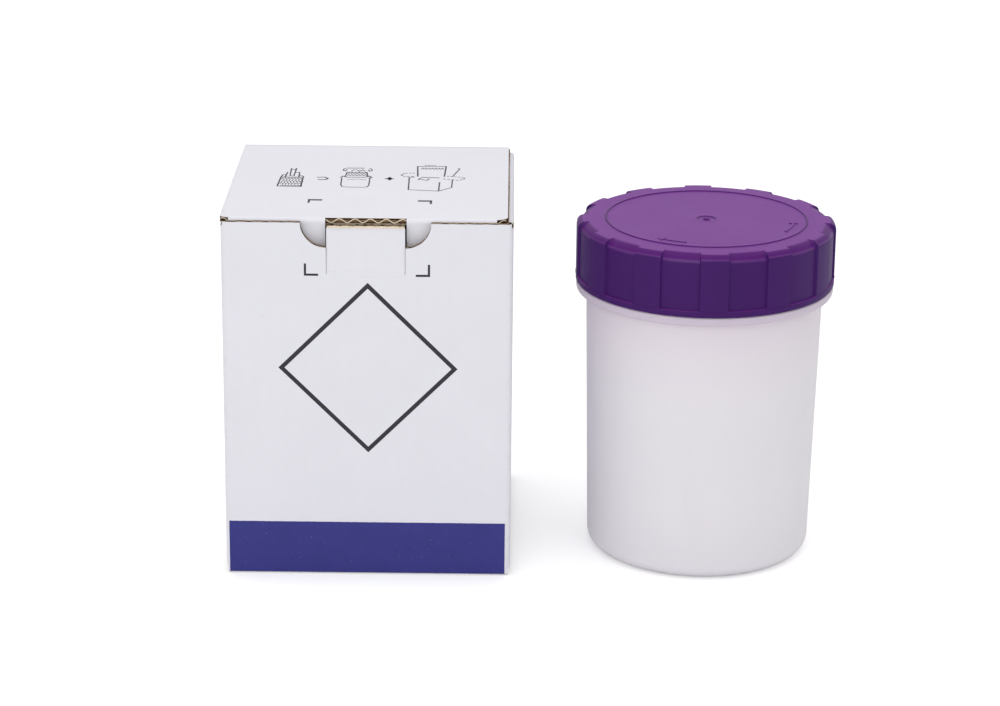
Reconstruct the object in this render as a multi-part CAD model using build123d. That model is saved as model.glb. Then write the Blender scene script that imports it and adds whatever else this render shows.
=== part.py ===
from build123d import *
from dataclasses import dataclass
from math import cos, pi, radians, sin, tan
import os

# Specimen transport pack: a corrugated carton with a tuck-in lid and the screw-lid jar it carries.
# Frame: +Z up, the carton's printed front faces -Y, origin at the centre of the carton's base.
# The jar stands beside the carton at +X. Millimetres.

# ---------------------------------------------------------------- driving dimensions
# Board
BOARD = 2.5                 # caliper of the single-wall board
AIR = 0.3                   # least gap between panels that move past each other
CORNER_BEND = 2.5           # outer radius where two walls meet
CREASE_BEND = 2.0           # outer radius at the lid and base creases

# Carton, outside
CARTON_WIDTH = 118.0
CARTON_DEPTH = 118.0
CARTON_HEIGHT = 153.4

# Lid and its flaps
LID_RIGHT_INSET = 2.4       # lid's right edge, in from the right wall's face
LID_LEFT_INSET = 0.6        # lid's left edge at the back; the lid sits a little askew
LID_LEFT_OVERHANG = 0.6     # the same edge at the front, past the left wall's face
LID_RIGHT_CORNER_R = 4.2
LID_LEFT_CORNER_R = 3.4
TUCK_LENGTH = 26.0          # down the flap, from the top of the lid
TUCK_LEFT_END = 56.1        # ends of the crease between lid and flap, either side of the centre
TUCK_RIGHT_END = 52.4
TUCK_TAPER = 4.0            # how much each end draws in towards the free edge
TUCK_SLANT = 7.5            # degrees off the vertical, so that the flap clears the wall as the lid lifts
DUST_LENGTH = 45.0
DUST_FRONT_GAP = 7.3        # front end of the crease, back from the front wall; clears the tuck flap
DUST_FRONT_SETBACK = 7.0
DUST_SHOULDER = 3.0         # straight run beside the crease
DUST_FRONT_RAMP = 10.0
DUST_BACK_SETBACK = 24.0    # keeps clear of the lid's own crease
FLAP_CORNER_R = 5.0

# Lock tab and thumb notches, all cut from the front wall
FRONT_DROP = 1.1            # raw top edge of the front wall, below the top of the lid
TAB_X = -0.5                # middle of the tab, its notches and the slot behind it
TAB_WIDTH = 31.2
TAB_KERF = 0.4              # knife gap at each side of the tab
TAB_FOOT_BELOW = 21.4       # tab crease below the front wall's top edge
TAB_TOP_BELOW = 2.0         # tab's top edge below the front wall's top edge
TAB_CORNER_R = 0.8
TAB_LEAN = 2.5              # degrees that the tab leans in at rest, about its inner foot line
NOTCH_R = 10.4
LID_SLOT_DEPTH = 1.3        # the lid's raw edge behind the tab, back from its front crease
TUCK_WINDOW_DEPTH = 17.0    # window in the tuck flap, down from the top of the lid

# Maker's joint
GLUE_WIDTH = 30.0
GLUE_END_GAP = 4.0
GLUE_TAPER = 6.0

# Crash-lock base
BASE_SIDE_INSET = 0.8       # outer flaps stop short of the side walls' faces
HOOK_REACH = 7.0            # hook, either side of the carton's centre line
HOOK_NEAR = 8.0
HOOK_FAR = 14.0
HOOK_SLOPE_RISE = 16.0      # how much the interlocking edges slope on their way to the side walls
HOOK_R = 2.5
SIDE_FLAP_LENGTH = 44.0
SIDE_FLAP_SHOULDER = 6.0
SIDE_FLAP_END_GAP = 1.0

# Jar, standing beside the carton
JAR_X = 139.0
JAR_Y = -14.8
JAR_HEIGHT = 143.0          # to the top of its lid
JAR_TOP_R = 49.4            # outside, under the collar
JAR_BASE_R = 46.9
JAR_WALL = 1.6
JAR_FLOOR = 2.2
JAR_FOOT_R = 6.0
JAR_DISH = 1.4              # hollow under the base
JAR_DISH_R = 36.0
COLLAR_R = 53.6
COLLAR_BOTTOM = 112.8
COLLAR_TOP = 116.7
COLLAR_BEVEL = 1.0
NECK_R = 49.9
NECK_INNER_R = 47.8
LIP_BEVEL = 0.6

# Screw lid
PAD_COUNT = 12
PAD_SHARE = 0.59            # of the pitch
PAD_R = 54.2
PAD_END_BEVEL = 0.8
PAD_ROOT_R = 46.0           # the pads run in over the roof's edge to here, flush with it
LID_R = 53.0                # between the pads
LID_SHOULDER_R = 3.6
LID_RIM_HEIGHT = 2.6        # plain rim under the pads
LID_RUN_GAP = 0.2           # rim above the collar
LID_SKIRT = 1.5
LID_ROOF = 2.0
RING_R = 41.7               # fine ring moulded on the roof
RING_WIDTH = 0.8
RING_HEIGHT = 0.5
DIMPLE_R = 4.2              # round the mould's gate
DIMPLE_DEPTH = 0.5
GATE_R = 1.1
GATE_HEIGHT = 0.9
SEAL_THICKNESS = 1.5
SEAL_INNER_R = 44.6
SEAL_EDGE_GAP = 0.3
SEAL_LIP_GAP = 0.05

# ---------------------------------------------------------------- derived places
FRONT_Y = -CARTON_DEPTH / 2
BACK_Y = CARTON_DEPTH / 2
SIDE_X = CARTON_WIDTH / 2
FRONT_INNER_Y = FRONT_Y + BOARD
FRONT_TOP = CARTON_HEIGHT - FRONT_DROP
SIDE_TOP = CARTON_HEIGHT - BOARD - AIR           # dust flaps lie one board below the lid
SIDE_FOOT = BOARD                                # side flaps lie on the outer base flaps
LID_FRONT_Y = FRONT_INNER_Y + AIR
LID_LENGTH = BACK_Y - LID_FRONT_Y
TAB_FOOT = FRONT_TOP - TAB_FOOT_BELOW
TAB_TOP = FRONT_TOP - TAB_TOP_BELOW
TAB_OPENING = TAB_WIDTH + 2 * TAB_KERF
WINDOW_WIDTH = TAB_OPENING + 2 * TAB_KERF
TUCK_SPAN = TUCK_LEFT_END + TUCK_RIGHT_END
TUCK_SHIFT = (TUCK_LEFT_END - TUCK_RIGHT_END) / 2    # to the left
DUST_FRONT_Y = FRONT_INNER_Y + DUST_FRONT_GAP
LID_BOTTOM = COLLAR_TOP + LID_RUN_GAP
ROOF_UNDERSIDE = JAR_HEIGHT - LID_ROOF
SEAL_BOTTOM = ROOF_UNDERSIDE - SEAL_THICKNESS
NECK_TOP = SEAL_BOTTOM - SEAL_LIP_GAP
LID_INNER_R = LID_R - LID_SKIRT


# ---------------------------------------------------------------- board panels
@dataclass
class Bend:
    """Half of a fold: the panel's end is mitred, and its outer edge is half of a round."""
    radius: float
    inside_angle: float = 90.0

    def setback(self):
        """How far the inner face stops short of the fold's outer corner."""
        return BOARD / tan(radians(self.inside_angle / 2))


def strip_section(length, near=None, far=None):
    """Board seen from its edge: outer face on y=0, inner face on y=-BOARD, from x=0 to length."""
    section = Rectangle(length, BOARD, align=(Align.MIN, Align.MAX))
    for end, bend, inward in ((0, near, 1), (length, far, -1)):
        if bend:
            corner = section.vertices().sort_by_distance((end, 0, 0))[0]
            section = fillet(corner, bend.radius)
            mitre = Polygon((end, 0), (end, -BOARD), (end + inward * bend.setback(), -BOARD), align=None)
            section -= mitre
    return section


def panel(width, height, left=None, right=None, foot=None, head=None):
    """Flat panel, outer face on z=0, centred on x, standing from y=0. Each end is raw or a Bend."""
    across = extrude(Plane.XZ * strip_section(width, left, right), amount=-height)
    along = extrude(Plane.YZ * strip_section(height, foot, head), amount=width)
    return Pos(-width / 2, 0, 0) * (across & along)


def cut_through(outline):
    """Tool that cuts a flat outline right through a panel."""
    return extrude(Pos(0, 0, -2 * BOARD) * outline, amount=3 * BOARD)


def front_frame(height=0.0):
    return Plane(origin=(0, FRONT_Y, height), x_dir=(1, 0, 0), z_dir=(0, -1, 0))


def side_frame(side, height):
    return Plane(origin=(side * SIDE_X, 0, height), x_dir=(0, side, 0), z_dir=(side, 0, 0))


def floor_frame(x, y, height, inward):
    """Frame of a base flap: printed face down, local +Y running inward from its crease."""
    down = Vector(0, 0, -1)
    return Plane(origin=(x, y, height), x_dir=Vector(*inward).cross(down), z_dir=down)


def roof_frame(x, y, height, inward):
    """Frame of the lid or a dust flap: printed face up, local +Y running inward from its crease."""
    up = Vector(0, 0, 1)
    return Plane(origin=(x, y, height), x_dir=Vector(*inward).cross(up), z_dir=up)


WALL_BEND = Bend(CORNER_BEND)
CREASE = Bend(CREASE_BEND)
DUST_CREASE = Bend(CORNER_BEND)
TUCK_CREASE = Bend(CREASE_BEND, 90.0 - TUCK_SLANT)


# ---------------------------------------------------------------- carton walls
def front_wall():
    wall = panel(CARTON_WIDTH, FRONT_TOP, left=WALL_BEND, right=WALL_BEND, foot=CREASE)
    opening_height = FRONT_TOP - TAB_FOOT
    opening = Pos(TAB_X, TAB_FOOT + opening_height / 2) * Rectangle(TAB_OPENING, opening_height)
    for side in (-1, 1):
        opening += Pos(TAB_X + side * TAB_OPENING / 2, FRONT_TOP) * Circle(NOTCH_R)
    return front_frame() * (wall - cut_through(opening))


def lock_tab():
    height = TAB_TOP - TAB_FOOT
    tab = panel(TAB_WIDTH, height)
    head_corners = tab.edges().filter_by(Axis.Z).group_by(Axis.Y)[-1]
    tab = Pos(0, 0, BOARD) * fillet(head_corners, TAB_CORNER_R)
    leaning = Rot(-TAB_LEAN, 0, 0) * tab
    return front_frame(TAB_FOOT) * Pos(TAB_X, 0, -BOARD) * leaning


def back_wall():
    wall = panel(CARTON_WIDTH, CARTON_HEIGHT, left=WALL_BEND, right=WALL_BEND, foot=CREASE, head=CREASE)
    step_height = CARTON_HEIGHT - SIDE_TOP
    for side, step_width in ((-1, LID_RIGHT_INSET), (1, LID_LEFT_INSET)):
        step = Pos(side * SIDE_X, CARTON_HEIGHT) * Rectangle(2 * step_width, 2 * step_height)
        wall -= cut_through(step)
    back = Plane(origin=(0, BACK_Y, 0), x_dir=(-1, 0, 0), z_dir=(0, 1, 0))
    return back * wall


def side_wall(side):
    """Creased at its head, but raw in front of its dust flap."""
    height = SIDE_TOP - SIDE_FOOT
    creased = panel(CARTON_DEPTH, height, left=WALL_BEND, right=WALL_BEND, foot=CREASE, head=DUST_CREASE)
    raw = panel(CARTON_DEPTH, height, left=WALL_BEND, right=WALL_BEND, foot=CREASE)
    beside_flap = Pos(side * FRONT_Y, height) * Rectangle(2 * (DUST_FRONT_Y - FRONT_Y), 4 * BOARD)
    front_corner = cut_through(beside_flap)
    return side_frame(side, SIDE_FOOT) * (creased - front_corner + (raw & front_corner))


def glue_flap():
    """Glued inside the left wall, tapered so that its ends clear the base and dust flaps."""
    bottom = SIDE_FOOT + BOARD + GLUE_END_GAP
    top = SIDE_TOP - BOARD - GLUE_END_GAP
    crease_y = BACK_Y - BOARD
    free_y = crease_y - GLUE_WIDTH
    outline = Polygon(
        (crease_y, bottom), (crease_y, top), (free_y, top - GLUE_TAPER), (free_y, bottom + GLUE_TAPER), align=None)
    inner_face = Plane(origin=(-SIDE_X + BOARD, 0, 0), x_dir=(0, 1, 0), z_dir=(1, 0, 0))
    return extrude(inner_face * outline, amount=BOARD)


# ---------------------------------------------------------------- lid and flaps
def lid_panel():
    """Creased along the back and, between its rounded corners, along the front."""
    right = LID_RIGHT_INSET - SIDE_X
    raw_length = LID_LENGTH - AIR
    outline = Polygon(
        (right, 0),
        (SIDE_X - LID_LEFT_INSET, 0),
        (SIDE_X + LID_LEFT_OVERHANG, raw_length),
        (right, raw_length),
        align=None)
    raw_front = panel(CARTON_WIDTH + 2 * LID_LEFT_OVERHANG, raw_length, foot=CREASE) & cut_through(outline)
    for end, radius in ((0, LID_RIGHT_CORNER_R), (-1, LID_LEFT_CORNER_R)):
        corners = raw_front.edges().filter_by(Axis.Z).group_by(Axis.Y)[-1].sort_by(Axis.X)
        raw_front = fillet(corners[end], radius)
    creased = Pos(TUCK_SHIFT, 0, 0) * panel(TUCK_SPAN, LID_LENGTH, foot=CREASE, head=TUCK_CREASE)
    middle = cut_through(Pos(TUCK_SHIFT, LID_LENGTH) * Rectangle(TUCK_SPAN, 4 * BOARD))
    slot = cut_through(Pos(-TAB_X, LID_LENGTH) * Rectangle(WINDOW_WIDTH, 2 * LID_SLOT_DEPTH))
    lid = raw_front - middle + creased - slot
    return roof_frame(0, BACK_Y, CARTON_HEIGHT, (0, -1, 0)) * lid


def tuck_flap():
    """Leans in from the lid's front crease, with the window that the lock tab presses into."""
    flap = panel(TUCK_SPAN, TUCK_LENGTH, foot=TUCK_CREASE)
    half = TUCK_SPAN / 2
    outline = Polygon(
        (-half, 0), (half, 0), (half - TUCK_TAPER, TUCK_LENGTH), (TUCK_TAPER - half, TUCK_LENGTH), align=None)
    free_corners = outline.vertices().group_by(Axis.Y)[-1]
    window = cut_through(Pos(-TAB_X, 0) * Rectangle(WINDOW_WIDTH, 2 * TUCK_WINDOW_DEPTH))
    flap = Pos(TUCK_SHIFT, 0, 0) * (flap & cut_through(fillet(free_corners, FLAP_CORNER_R))) - window
    slant = radians(TUCK_SLANT)
    outward = (0, -cos(slant), -sin(slant))
    return Plane(origin=(0, LID_FRONT_Y, CARTON_HEIGHT), x_dir=(-1, 0, 0), z_dir=outward) * flap


def dust_flap(side):
    """Folds in from a side wall under the lid; its back edge slopes so that the lid always leads it."""
    front = DUST_FRONT_Y
    back = BACK_Y - 2 * BOARD - 2 * AIR
    outline = Polygon(
        (front, 0),
        (back, 0),
        (back, DUST_SHOULDER),
        (back - DUST_BACK_SETBACK, DUST_LENGTH),
        (front + DUST_FRONT_SETBACK, DUST_LENGTH),
        (front + DUST_FRONT_SETBACK, DUST_SHOULDER + DUST_FRONT_RAMP),
        (front, DUST_SHOULDER),
        align=None)
    outline = fillet(outline.vertices().group_by(Axis.Y)[-1], FLAP_CORNER_R)
    if side < 0:
        outline = mirror(outline, about=Plane.YZ)
    flap = panel(CARTON_DEPTH, DUST_LENGTH, foot=DUST_CREASE) & cut_through(outline)
    return roof_frame(side * SIDE_X, 0, SIDE_TOP, (-side, 0, 0)) * flap


# ---------------------------------------------------------------- crash-lock base
def hooked_outline():
    """Outer base flap, from its crease at y=0 to the edge that hooks into its twin past the centre."""
    half = CARTON_WIDTH / 2 - BASE_SIDE_INSET
    mid = CARTON_DEPTH / 2
    far_corner = HOOK_NEAR + HOOK_SLOPE_RISE
    hook_line = [
        (HOOK_REACH, mid - HOOK_NEAR),
        (-HOOK_REACH, mid - HOOK_FAR),
        (HOOK_REACH, mid + HOOK_FAR),
        (-HOOK_REACH, mid + HOOK_NEAR)]
    outline = Polygon(
        (-half, 0), (half, 0), (half, mid - far_corner), *hook_line, (-half, mid + far_corner), align=None)
    turns = [outline.vertices().sort_by_distance((x, y, 0))[0] for x, y in hook_line]
    return fillet(turns, HOOK_R)


def base_flap_outer(inward):
    """Front or back base flap; the two are alike and hook together."""
    flap = panel(CARTON_WIDTH, CARTON_DEPTH, foot=CREASE) & cut_through(hooked_outline())
    return floor_frame(0, -inward * CARTON_DEPTH / 2, 0, (0, inward, 0)) * flap


def base_flap_inner(side):
    """Side base flap, tapered, lying on the hooked pair."""
    half = CARTON_DEPTH / 2 - BOARD - SIDE_FLAP_END_GAP
    tip = half - (SIDE_FLAP_LENGTH - SIDE_FLAP_SHOULDER) * tan(pi / 4)
    outline = Polygon(
        (-half, 0),
        (half, 0),
        (half, SIDE_FLAP_SHOULDER),
        (tip, SIDE_FLAP_LENGTH),
        (-tip, SIDE_FLAP_LENGTH),
        (-half, SIDE_FLAP_SHOULDER),
        align=None)
    outline = fillet(outline.vertices().group_by(Axis.Y)[-1], FLAP_CORNER_R)
    flap = panel(CARTON_DEPTH, SIDE_FLAP_LENGTH, foot=CREASE) & cut_through(outline)
    return floor_frame(side * SIDE_X, 0, SIDE_FOOT, (-side, 0, 0)) * flap


# ---------------------------------------------------------------- jar
def turned(*pieces):
    """Solid of revolution, set down on the jar's axis."""
    solid = None
    for sketch in pieces:
        ring = revolve(Plane.XZ * sketch, Axis.Z)
        solid = ring if solid is None else solid + ring
    return Pos(JAR_X, JAR_Y, 0) * solid


def corner_near(sketch, radius, height):
    return sketch.vertices().sort_by_distance((radius, height, 0))[0]


def block(inner_r, outer_r, bottom, top):
    """Rectangle in the half section: x is the radius, y the height."""
    size = Rectangle(outer_r - inner_r, top - bottom, align=(Align.MIN, Align.MIN))
    return Pos(inner_r, bottom) * size


def jar_body():
    outer = Polygon((0, 0), (JAR_BASE_R, 0), (JAR_TOP_R, COLLAR_TOP), (0, COLLAR_TOP), align=None)
    outer = fillet(corner_near(outer, JAR_BASE_R, 0), JAR_FOOT_R)
    collar = block(0, COLLAR_R, COLLAR_BOTTOM, COLLAR_TOP)
    rim = [corner_near(collar, COLLAR_R, COLLAR_BOTTOM), corner_near(collar, COLLAR_R, COLLAR_TOP)]
    collar = chamfer(rim, COLLAR_BEVEL)
    neck = block(0, NECK_R, COLLAR_BOTTOM, NECK_TOP)
    hollow = Polygon(
        (0, JAR_FLOOR), (JAR_BASE_R - JAR_WALL, JAR_FLOOR), (NECK_INNER_R, COLLAR_TOP), (0, COLLAR_TOP), align=None)
    hollow = chamfer(corner_near(hollow, JAR_BASE_R - JAR_WALL, JAR_FLOOR), (JAR_FOOT_R - JAR_WALL) / 2)
    mouth = block(0, NECK_INNER_R, COLLAR_TOP, JAR_HEIGHT)
    section = outer + collar + neck - hollow - mouth
    lip = [corner_near(section, NECK_R, NECK_TOP), corner_near(section, NECK_INNER_R, NECK_TOP)]
    section = chamfer(lip, LIP_BEVEL)
    dish = Polygon((0, 0), (JAR_DISH_R, 0), (JAR_DISH_R - 2 * JAR_DISH, JAR_DISH), (0, JAR_DISH), align=None)
    return turned(section - dish)


def pad_sector():
    """Wedge, seen from above, that one grip pad fills."""
    half = PAD_SHARE * pi / PAD_COUNT
    reach = 2 * PAD_R
    return Polygon((0, 0), (reach * cos(half), -reach * sin(half)), (reach * cos(half), reach * sin(half)), align=None)


def jar_lid():
    core = block(0, LID_R, LID_BOTTOM, JAR_HEIGHT)
    core = fillet(corner_near(core, LID_R, JAR_HEIGHT), LID_SHOULDER_R)
    band = block(PAD_ROOT_R, PAD_R, LID_BOTTOM + LID_RIM_HEIGHT, JAR_HEIGHT)
    band = fillet(corner_near(band, PAD_R, JAR_HEIGHT), LID_SHOULDER_R)
    band = chamfer(corner_near(band, PAD_R, LID_BOTTOM + LID_RIM_HEIGHT), PAD_END_BEVEL)
    cavity = block(0, LID_INNER_R, 0, ROOF_UNDERSIDE)
    ring = block(RING_R - RING_WIDTH / 2, RING_R + RING_WIDTH / 2, ROOF_UNDERSIDE, JAR_HEIGHT + RING_HEIGHT)
    dimple = Polygon((0, JAR_HEIGHT), (DIMPLE_R, JAR_HEIGHT), (0, JAR_HEIGHT - DIMPLE_DEPTH), align=None)
    gate = block(0, GATE_R, ROOF_UNDERSIDE, JAR_HEIGHT - DIMPLE_DEPTH + GATE_HEIGHT)

    pads = revolve(Plane.XZ * band, Axis.Z)
    sector = extrude(pad_sector(), amount=JAR_HEIGHT)
    lid = revolve(Plane.XZ * core, Axis.Z)
    for index in range(PAD_COUNT):
        turn = 360 * (index + 0.5) / PAD_COUNT
        lid += pads & (Rot(0, 0, turn) * sector)
    lid -= revolve(Plane.XZ * (cavity + dimple), Axis.Z)
    lid += revolve(Plane.XZ * ring, Axis.Z)
    lid += revolve(Plane.XZ * gate, Axis.Z)
    return Pos(JAR_X, JAR_Y, 0) * lid


def lid_seal():
    return turned(block(SEAL_INNER_R, LID_INNER_R - SEAL_EDGE_GAP, SEAL_BOTTOM, ROOF_UNDERSIDE))


# ---------------------------------------------------------------- all pieces
PIECES = {
    "front_wall": front_wall(),
    "back_wall": back_wall(),
    "left_wall": side_wall(-1),
    "right_wall": side_wall(1),
    "glue_flap": glue_flap(),
    "base_flap_front": base_flap_outer(1),
    "base_flap_back": base_flap_outer(-1),
    "base_flap_left": base_flap_inner(-1),
    "base_flap_right": base_flap_inner(1),
    "lid_panel": lid_panel(),
    "tuck_flap": tuck_flap(),
    "dust_flap_left": dust_flap(-1),
    "dust_flap_right": dust_flap(1),
    "lock_tab": lock_tab(),
    "jar_body": jar_body(),
    "jar_lid": jar_lid(),
    "lid_seal": lid_seal(),
}


def main():
    os.makedirs("parts", exist_ok=True)
    for name, solid in PIECES.items():
        export_step(solid, f"parts/{name}.step")


main()
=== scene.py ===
from itertools import product
from math import asin, atan2, cos, degrees, hypot, pi, radians, sin, sqrt, tan

import bmesh
import bpy
from bpy.props import FloatProperty, FloatVectorProperty, IntProperty, PointerProperty
from mathutils import Matrix, Vector


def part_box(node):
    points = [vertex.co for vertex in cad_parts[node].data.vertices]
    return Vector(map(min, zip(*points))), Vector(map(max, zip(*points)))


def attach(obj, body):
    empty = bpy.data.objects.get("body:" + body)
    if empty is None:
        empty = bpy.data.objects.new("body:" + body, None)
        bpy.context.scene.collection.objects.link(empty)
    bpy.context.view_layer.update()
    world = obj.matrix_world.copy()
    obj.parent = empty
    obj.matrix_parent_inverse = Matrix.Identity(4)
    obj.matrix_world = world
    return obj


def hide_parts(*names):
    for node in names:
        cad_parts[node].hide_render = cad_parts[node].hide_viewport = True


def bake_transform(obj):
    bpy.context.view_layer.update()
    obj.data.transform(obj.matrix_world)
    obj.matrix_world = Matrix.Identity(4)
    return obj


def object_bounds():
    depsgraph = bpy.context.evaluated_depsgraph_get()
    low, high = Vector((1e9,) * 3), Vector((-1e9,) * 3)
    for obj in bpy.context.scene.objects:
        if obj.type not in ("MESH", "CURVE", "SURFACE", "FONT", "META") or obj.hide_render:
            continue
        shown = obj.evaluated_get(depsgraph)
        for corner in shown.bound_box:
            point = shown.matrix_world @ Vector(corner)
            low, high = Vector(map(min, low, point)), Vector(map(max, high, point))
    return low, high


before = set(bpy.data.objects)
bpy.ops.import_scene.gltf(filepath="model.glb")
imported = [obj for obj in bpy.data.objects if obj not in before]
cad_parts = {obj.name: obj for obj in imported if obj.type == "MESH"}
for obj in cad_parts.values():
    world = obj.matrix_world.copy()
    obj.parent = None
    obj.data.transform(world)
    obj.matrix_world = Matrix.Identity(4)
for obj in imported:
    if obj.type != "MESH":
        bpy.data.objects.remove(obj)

bl_info = {
    "name": "Specimen transport pack",
    "version": (1, 0, 0),
    "blender": (4, 5, 0),
    "location": "3D Viewport > Sidebar > Specimen pack",
    "description": "Dresses the packed carton and jar: fluted board, print, threads and finishes",
    "category": "Object",
}

MM = 0.001
FRAME_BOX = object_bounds()
FRONT_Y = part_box("front_wall")[0].y
BACK_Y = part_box("back_wall")[1].y
SIDE_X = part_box("right_wall")[1].x
LID_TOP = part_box("lid_panel")[1].z
JAR_LOW, JAR_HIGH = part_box("jar_lid")
JAR_AXIS = ((JAR_LOW.x + JAR_HIGH.x) / 2, (JAR_LOW.y + JAR_HIGH.y) / 2)
LID_FRONT_Y = FRONT_Y + 2.8 * MM
TAB_LOW, TAB_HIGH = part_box("lock_tab")
SLOT_ENDS = (TAB_LOW.x - 0.8 * MM, TAB_HIGH.x + 0.8 * MM)
LID_LEFT_X, LID_RIGHT_X = -SIDE_X + 0.6 * MM, SIDE_X - 2.4 * MM  # its cut sides, at the back
WALL_BEND, LID_BEND = 2.5 * MM, 2.0 * MM  # outer radii of the creases
TUCK_SLANT = radians(7.5)
TAB_LEAN = radians(2.5)
TAB_SPREAD = 1.016  # the knife spreads the tab's papers into the cut
SQUARE_ON = 0.64  # least cosine between a panel's direction and a face of its paper
STEPS_A_WAVE = 12
SLOT_STEPS = 160
THREAD = (119.8, 135.8, 0.3)  # mm up to its start and end, and the angle where it starts
RIB_TURN = 0.75  # degrees that the lid's ribs are turned by
WELD = 0.002 * MM
PRINTED_FACES = {  # by body: a point on the face, and its upward direction
    "carton": (Vector((0, FRONT_Y, 0)), Vector((0, 0, 1))),
    "lid": (Vector((0, 0, LID_TOP)), Vector((0, 1, 0))),
}
RUBBED_PAPER = (0.6, 0.56, 0.52)
PAPER_SPECK = (0.5, 0.47, 0.44)
PALE_INK = (0.3, 0.3, 0.31)


# ---------------------------------------------------------------- sizes and colours a user would change
def length(name, default, description):
    """A size that a user may change, in metres."""
    return number(name, default, description, "LENGTH")


def number(name, default, description, unit="NONE"):
    """A plain number, an angle in radians or a power that a user may change."""
    return FloatProperty(name=name, description=description, default=default, unit=unit)


def tint(name, default, description):
    """A colour that a user may change."""
    return FloatVectorProperty(name=name, description=description, default=default, subtype="COLOR")


class BoardSettings(bpy.types.PropertyGroup):
    liner: length("Liner", 0.32 * MM, "Thickness of each paper face")
    medium: length("Medium", 0.34 * MM, "Thickness of the fluted paper")
    pitch: length("Flute pitch", 6.6 * MM, "Length of one wave")
    caliper: length("Caliper", 2.5 * MM, "Thickness of the whole board")
    white: tint("White face", (0.77, 0.764, 0.822), "Printed outer face")
    kraft: tint("Kraft face", (0.46, 0.315, 0.185), "Inner face")
    # painted shade: the cut edges' brown is darkened to stand in for the shade of the gaps that they
    # line
    raw_edge_and_shade: tint("Raw edge", (0.185, 0.115, 0.065), "Cut edge of the papers")
    flute_edge: tint("Flute edge", (0.84, 0.72, 0.56), "Cut edge of the fluted paper")


class PrintSettings(bpy.types.PropertyGroup):
    film: length("Ink film", 0.03 * MM, "How far the line print stands")
    line_ink: tint("Line ink", (0.017, 0.0165, 0.022), "Diamond, marks and drawings")
    band_ink: tint("Band ink", (0.027, 0.0265, 0.203), "Band along the foot of the front")
    band_height: length("Band height", 23.4 * MM, "From the table to the band's upper edge")
    diamond: length("Diamond half diagonal", 36.5 * MM, "Centre to outer tip")
    diamond_line: length("Diamond line", 1.75 * MM, "Width of the outline")
    mark_line: length("Mark line", 0.9 * MM, "Width of the corner marks")
    lid_mark_line: length("Lid mark line", 1.95 * MM, "Width of the level marks on the lid")
    drawing_weight: number("Drawing weight", 1.3, "Scales the drawings' line widths")


class JarSettings(bpy.types.PropertyGroup):
    lid_colour: tint("Lid", (0.045, 0.0042, 0.111), "Pigment of the screw lid")
    # painted light: the roof colour is the lid's pigment made paler, as light falls on the roof from
    # above
    lit_roof_colour: tint("Lid roof", (0.171, 0.036, 0.258), "The lid's matt top")
    # painted light and shade: the shoulder is painted a tone between the lit roof and the darker wall
    shoulder_light_colour: tint(
        "Lid shoulder", (0.075, 0.001, 0.138), "Polished shoulder between roof and wall")
    body_colour: tint("Body", (0.9, 0.858, 0.93), "Natural plastic of the jar")
    # painted light: the lid's purple shining into the upper body and the collar is painted into their
    # colours, and the collar is also painted darker than the body
    body_lid_light: tint(
        "Shoulder", (0.875, 0.79, 0.875), "Body under the collar, where the lid's colour shines in")
    collar_lid_light: tint("Collar", (0.655, 0.575, 0.68), "Collar, with the lid's colour shining in")
    seal_colour: tint("Seal", (0.72, 0.72, 0.7), "Sealing ring")
    panels: IntProperty(name="Finger panels", description="Round the lid's wall", default=12, min=3)
    segments: IntProperty(name="Segments", description="Round the jar", default=144, min=24)


class StageSettings(bpy.types.PropertyGroup):
    lens: number("Lens", 112.36, "Focal length on a 36 mm sensor")
    eye: FloatVectorProperty(
        name="Eye", description="Camera position", default=(0.05722, -1.26097, 0.50544),
        subtype="TRANSLATION")
    pitch: number("Pitch", 0.3268, "Camera below level", "ROTATION")
    yaw: number("Yaw", 0.0027, "Camera to the left", "ROTATION")
    roll: number("Roll", 0.0102, "Camera roll", "ROTATION")
    sky: number("Sky", 0.8, "Light from all round")
    key: number("Key lamp", 2.5, "Power of the overhead softbox", "POWER")
    fill: number("Fill lamp", 4.4, "Power of the frontal softbox", "POWER")


SETTINGS = {
    "pack_board": BoardSettings,
    "pack_print": PrintSettings,
    "pack_jar": JarSettings,
    "pack_stage": StageSettings,
}


# ---------------------------------------------------------------- shader writing
class Sock:
    """A socket in a material, on which plain arithmetic adds Math nodes."""

    def __init__(self, tree, socket):
        self.tree = tree
        self.socket = socket

    def _math(self, operation, *terms):
        node = self.tree.nodes.new("ShaderNodeMath")
        node.operation = operation
        for index, term in enumerate(terms):
            if isinstance(term, Sock):
                self.tree.links.new(term.socket, node.inputs[index])
            else:
                node.inputs[index].default_value = term
        return Sock(self.tree, node.outputs[0])

    def __add__(self, other):
        return self._math("ADD", self, other)

    __radd__ = __add__

    def __sub__(self, other):
        return self._math("SUBTRACT", self, other)

    def __rsub__(self, other):
        return self._math("SUBTRACT", other, self)

    def __mul__(self, other):
        return self._math("MULTIPLY", self, other)

    __rmul__ = __mul__

    def __abs__(self):
        return self._math("ABSOLUTE", self)

    def sine(self):
        return self._math("SINE", self)

    def greatest(self, other):
        return self._math("MAXIMUM", self, other)

    def least(self, other):
        return self._math("MINIMUM", self, other)

    def ramp(self, low, high):
        """0 below low, 1 above high, smooth between; low above high turns it round."""
        node = self.tree.nodes.new("ShaderNodeMapRange")
        node.interpolation_type = "SMOOTHSTEP"
        self.tree.links.new(self.socket, node.inputs[0])
        turned = low > high
        stops = (high, low, 1.0, 0.0) if turned else (low, high, 0.0, 1.0)
        for index, value in enumerate(stops, start=1):
            node.inputs[index].default_value = value
        return Sock(self.tree, node.outputs[0])


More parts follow.
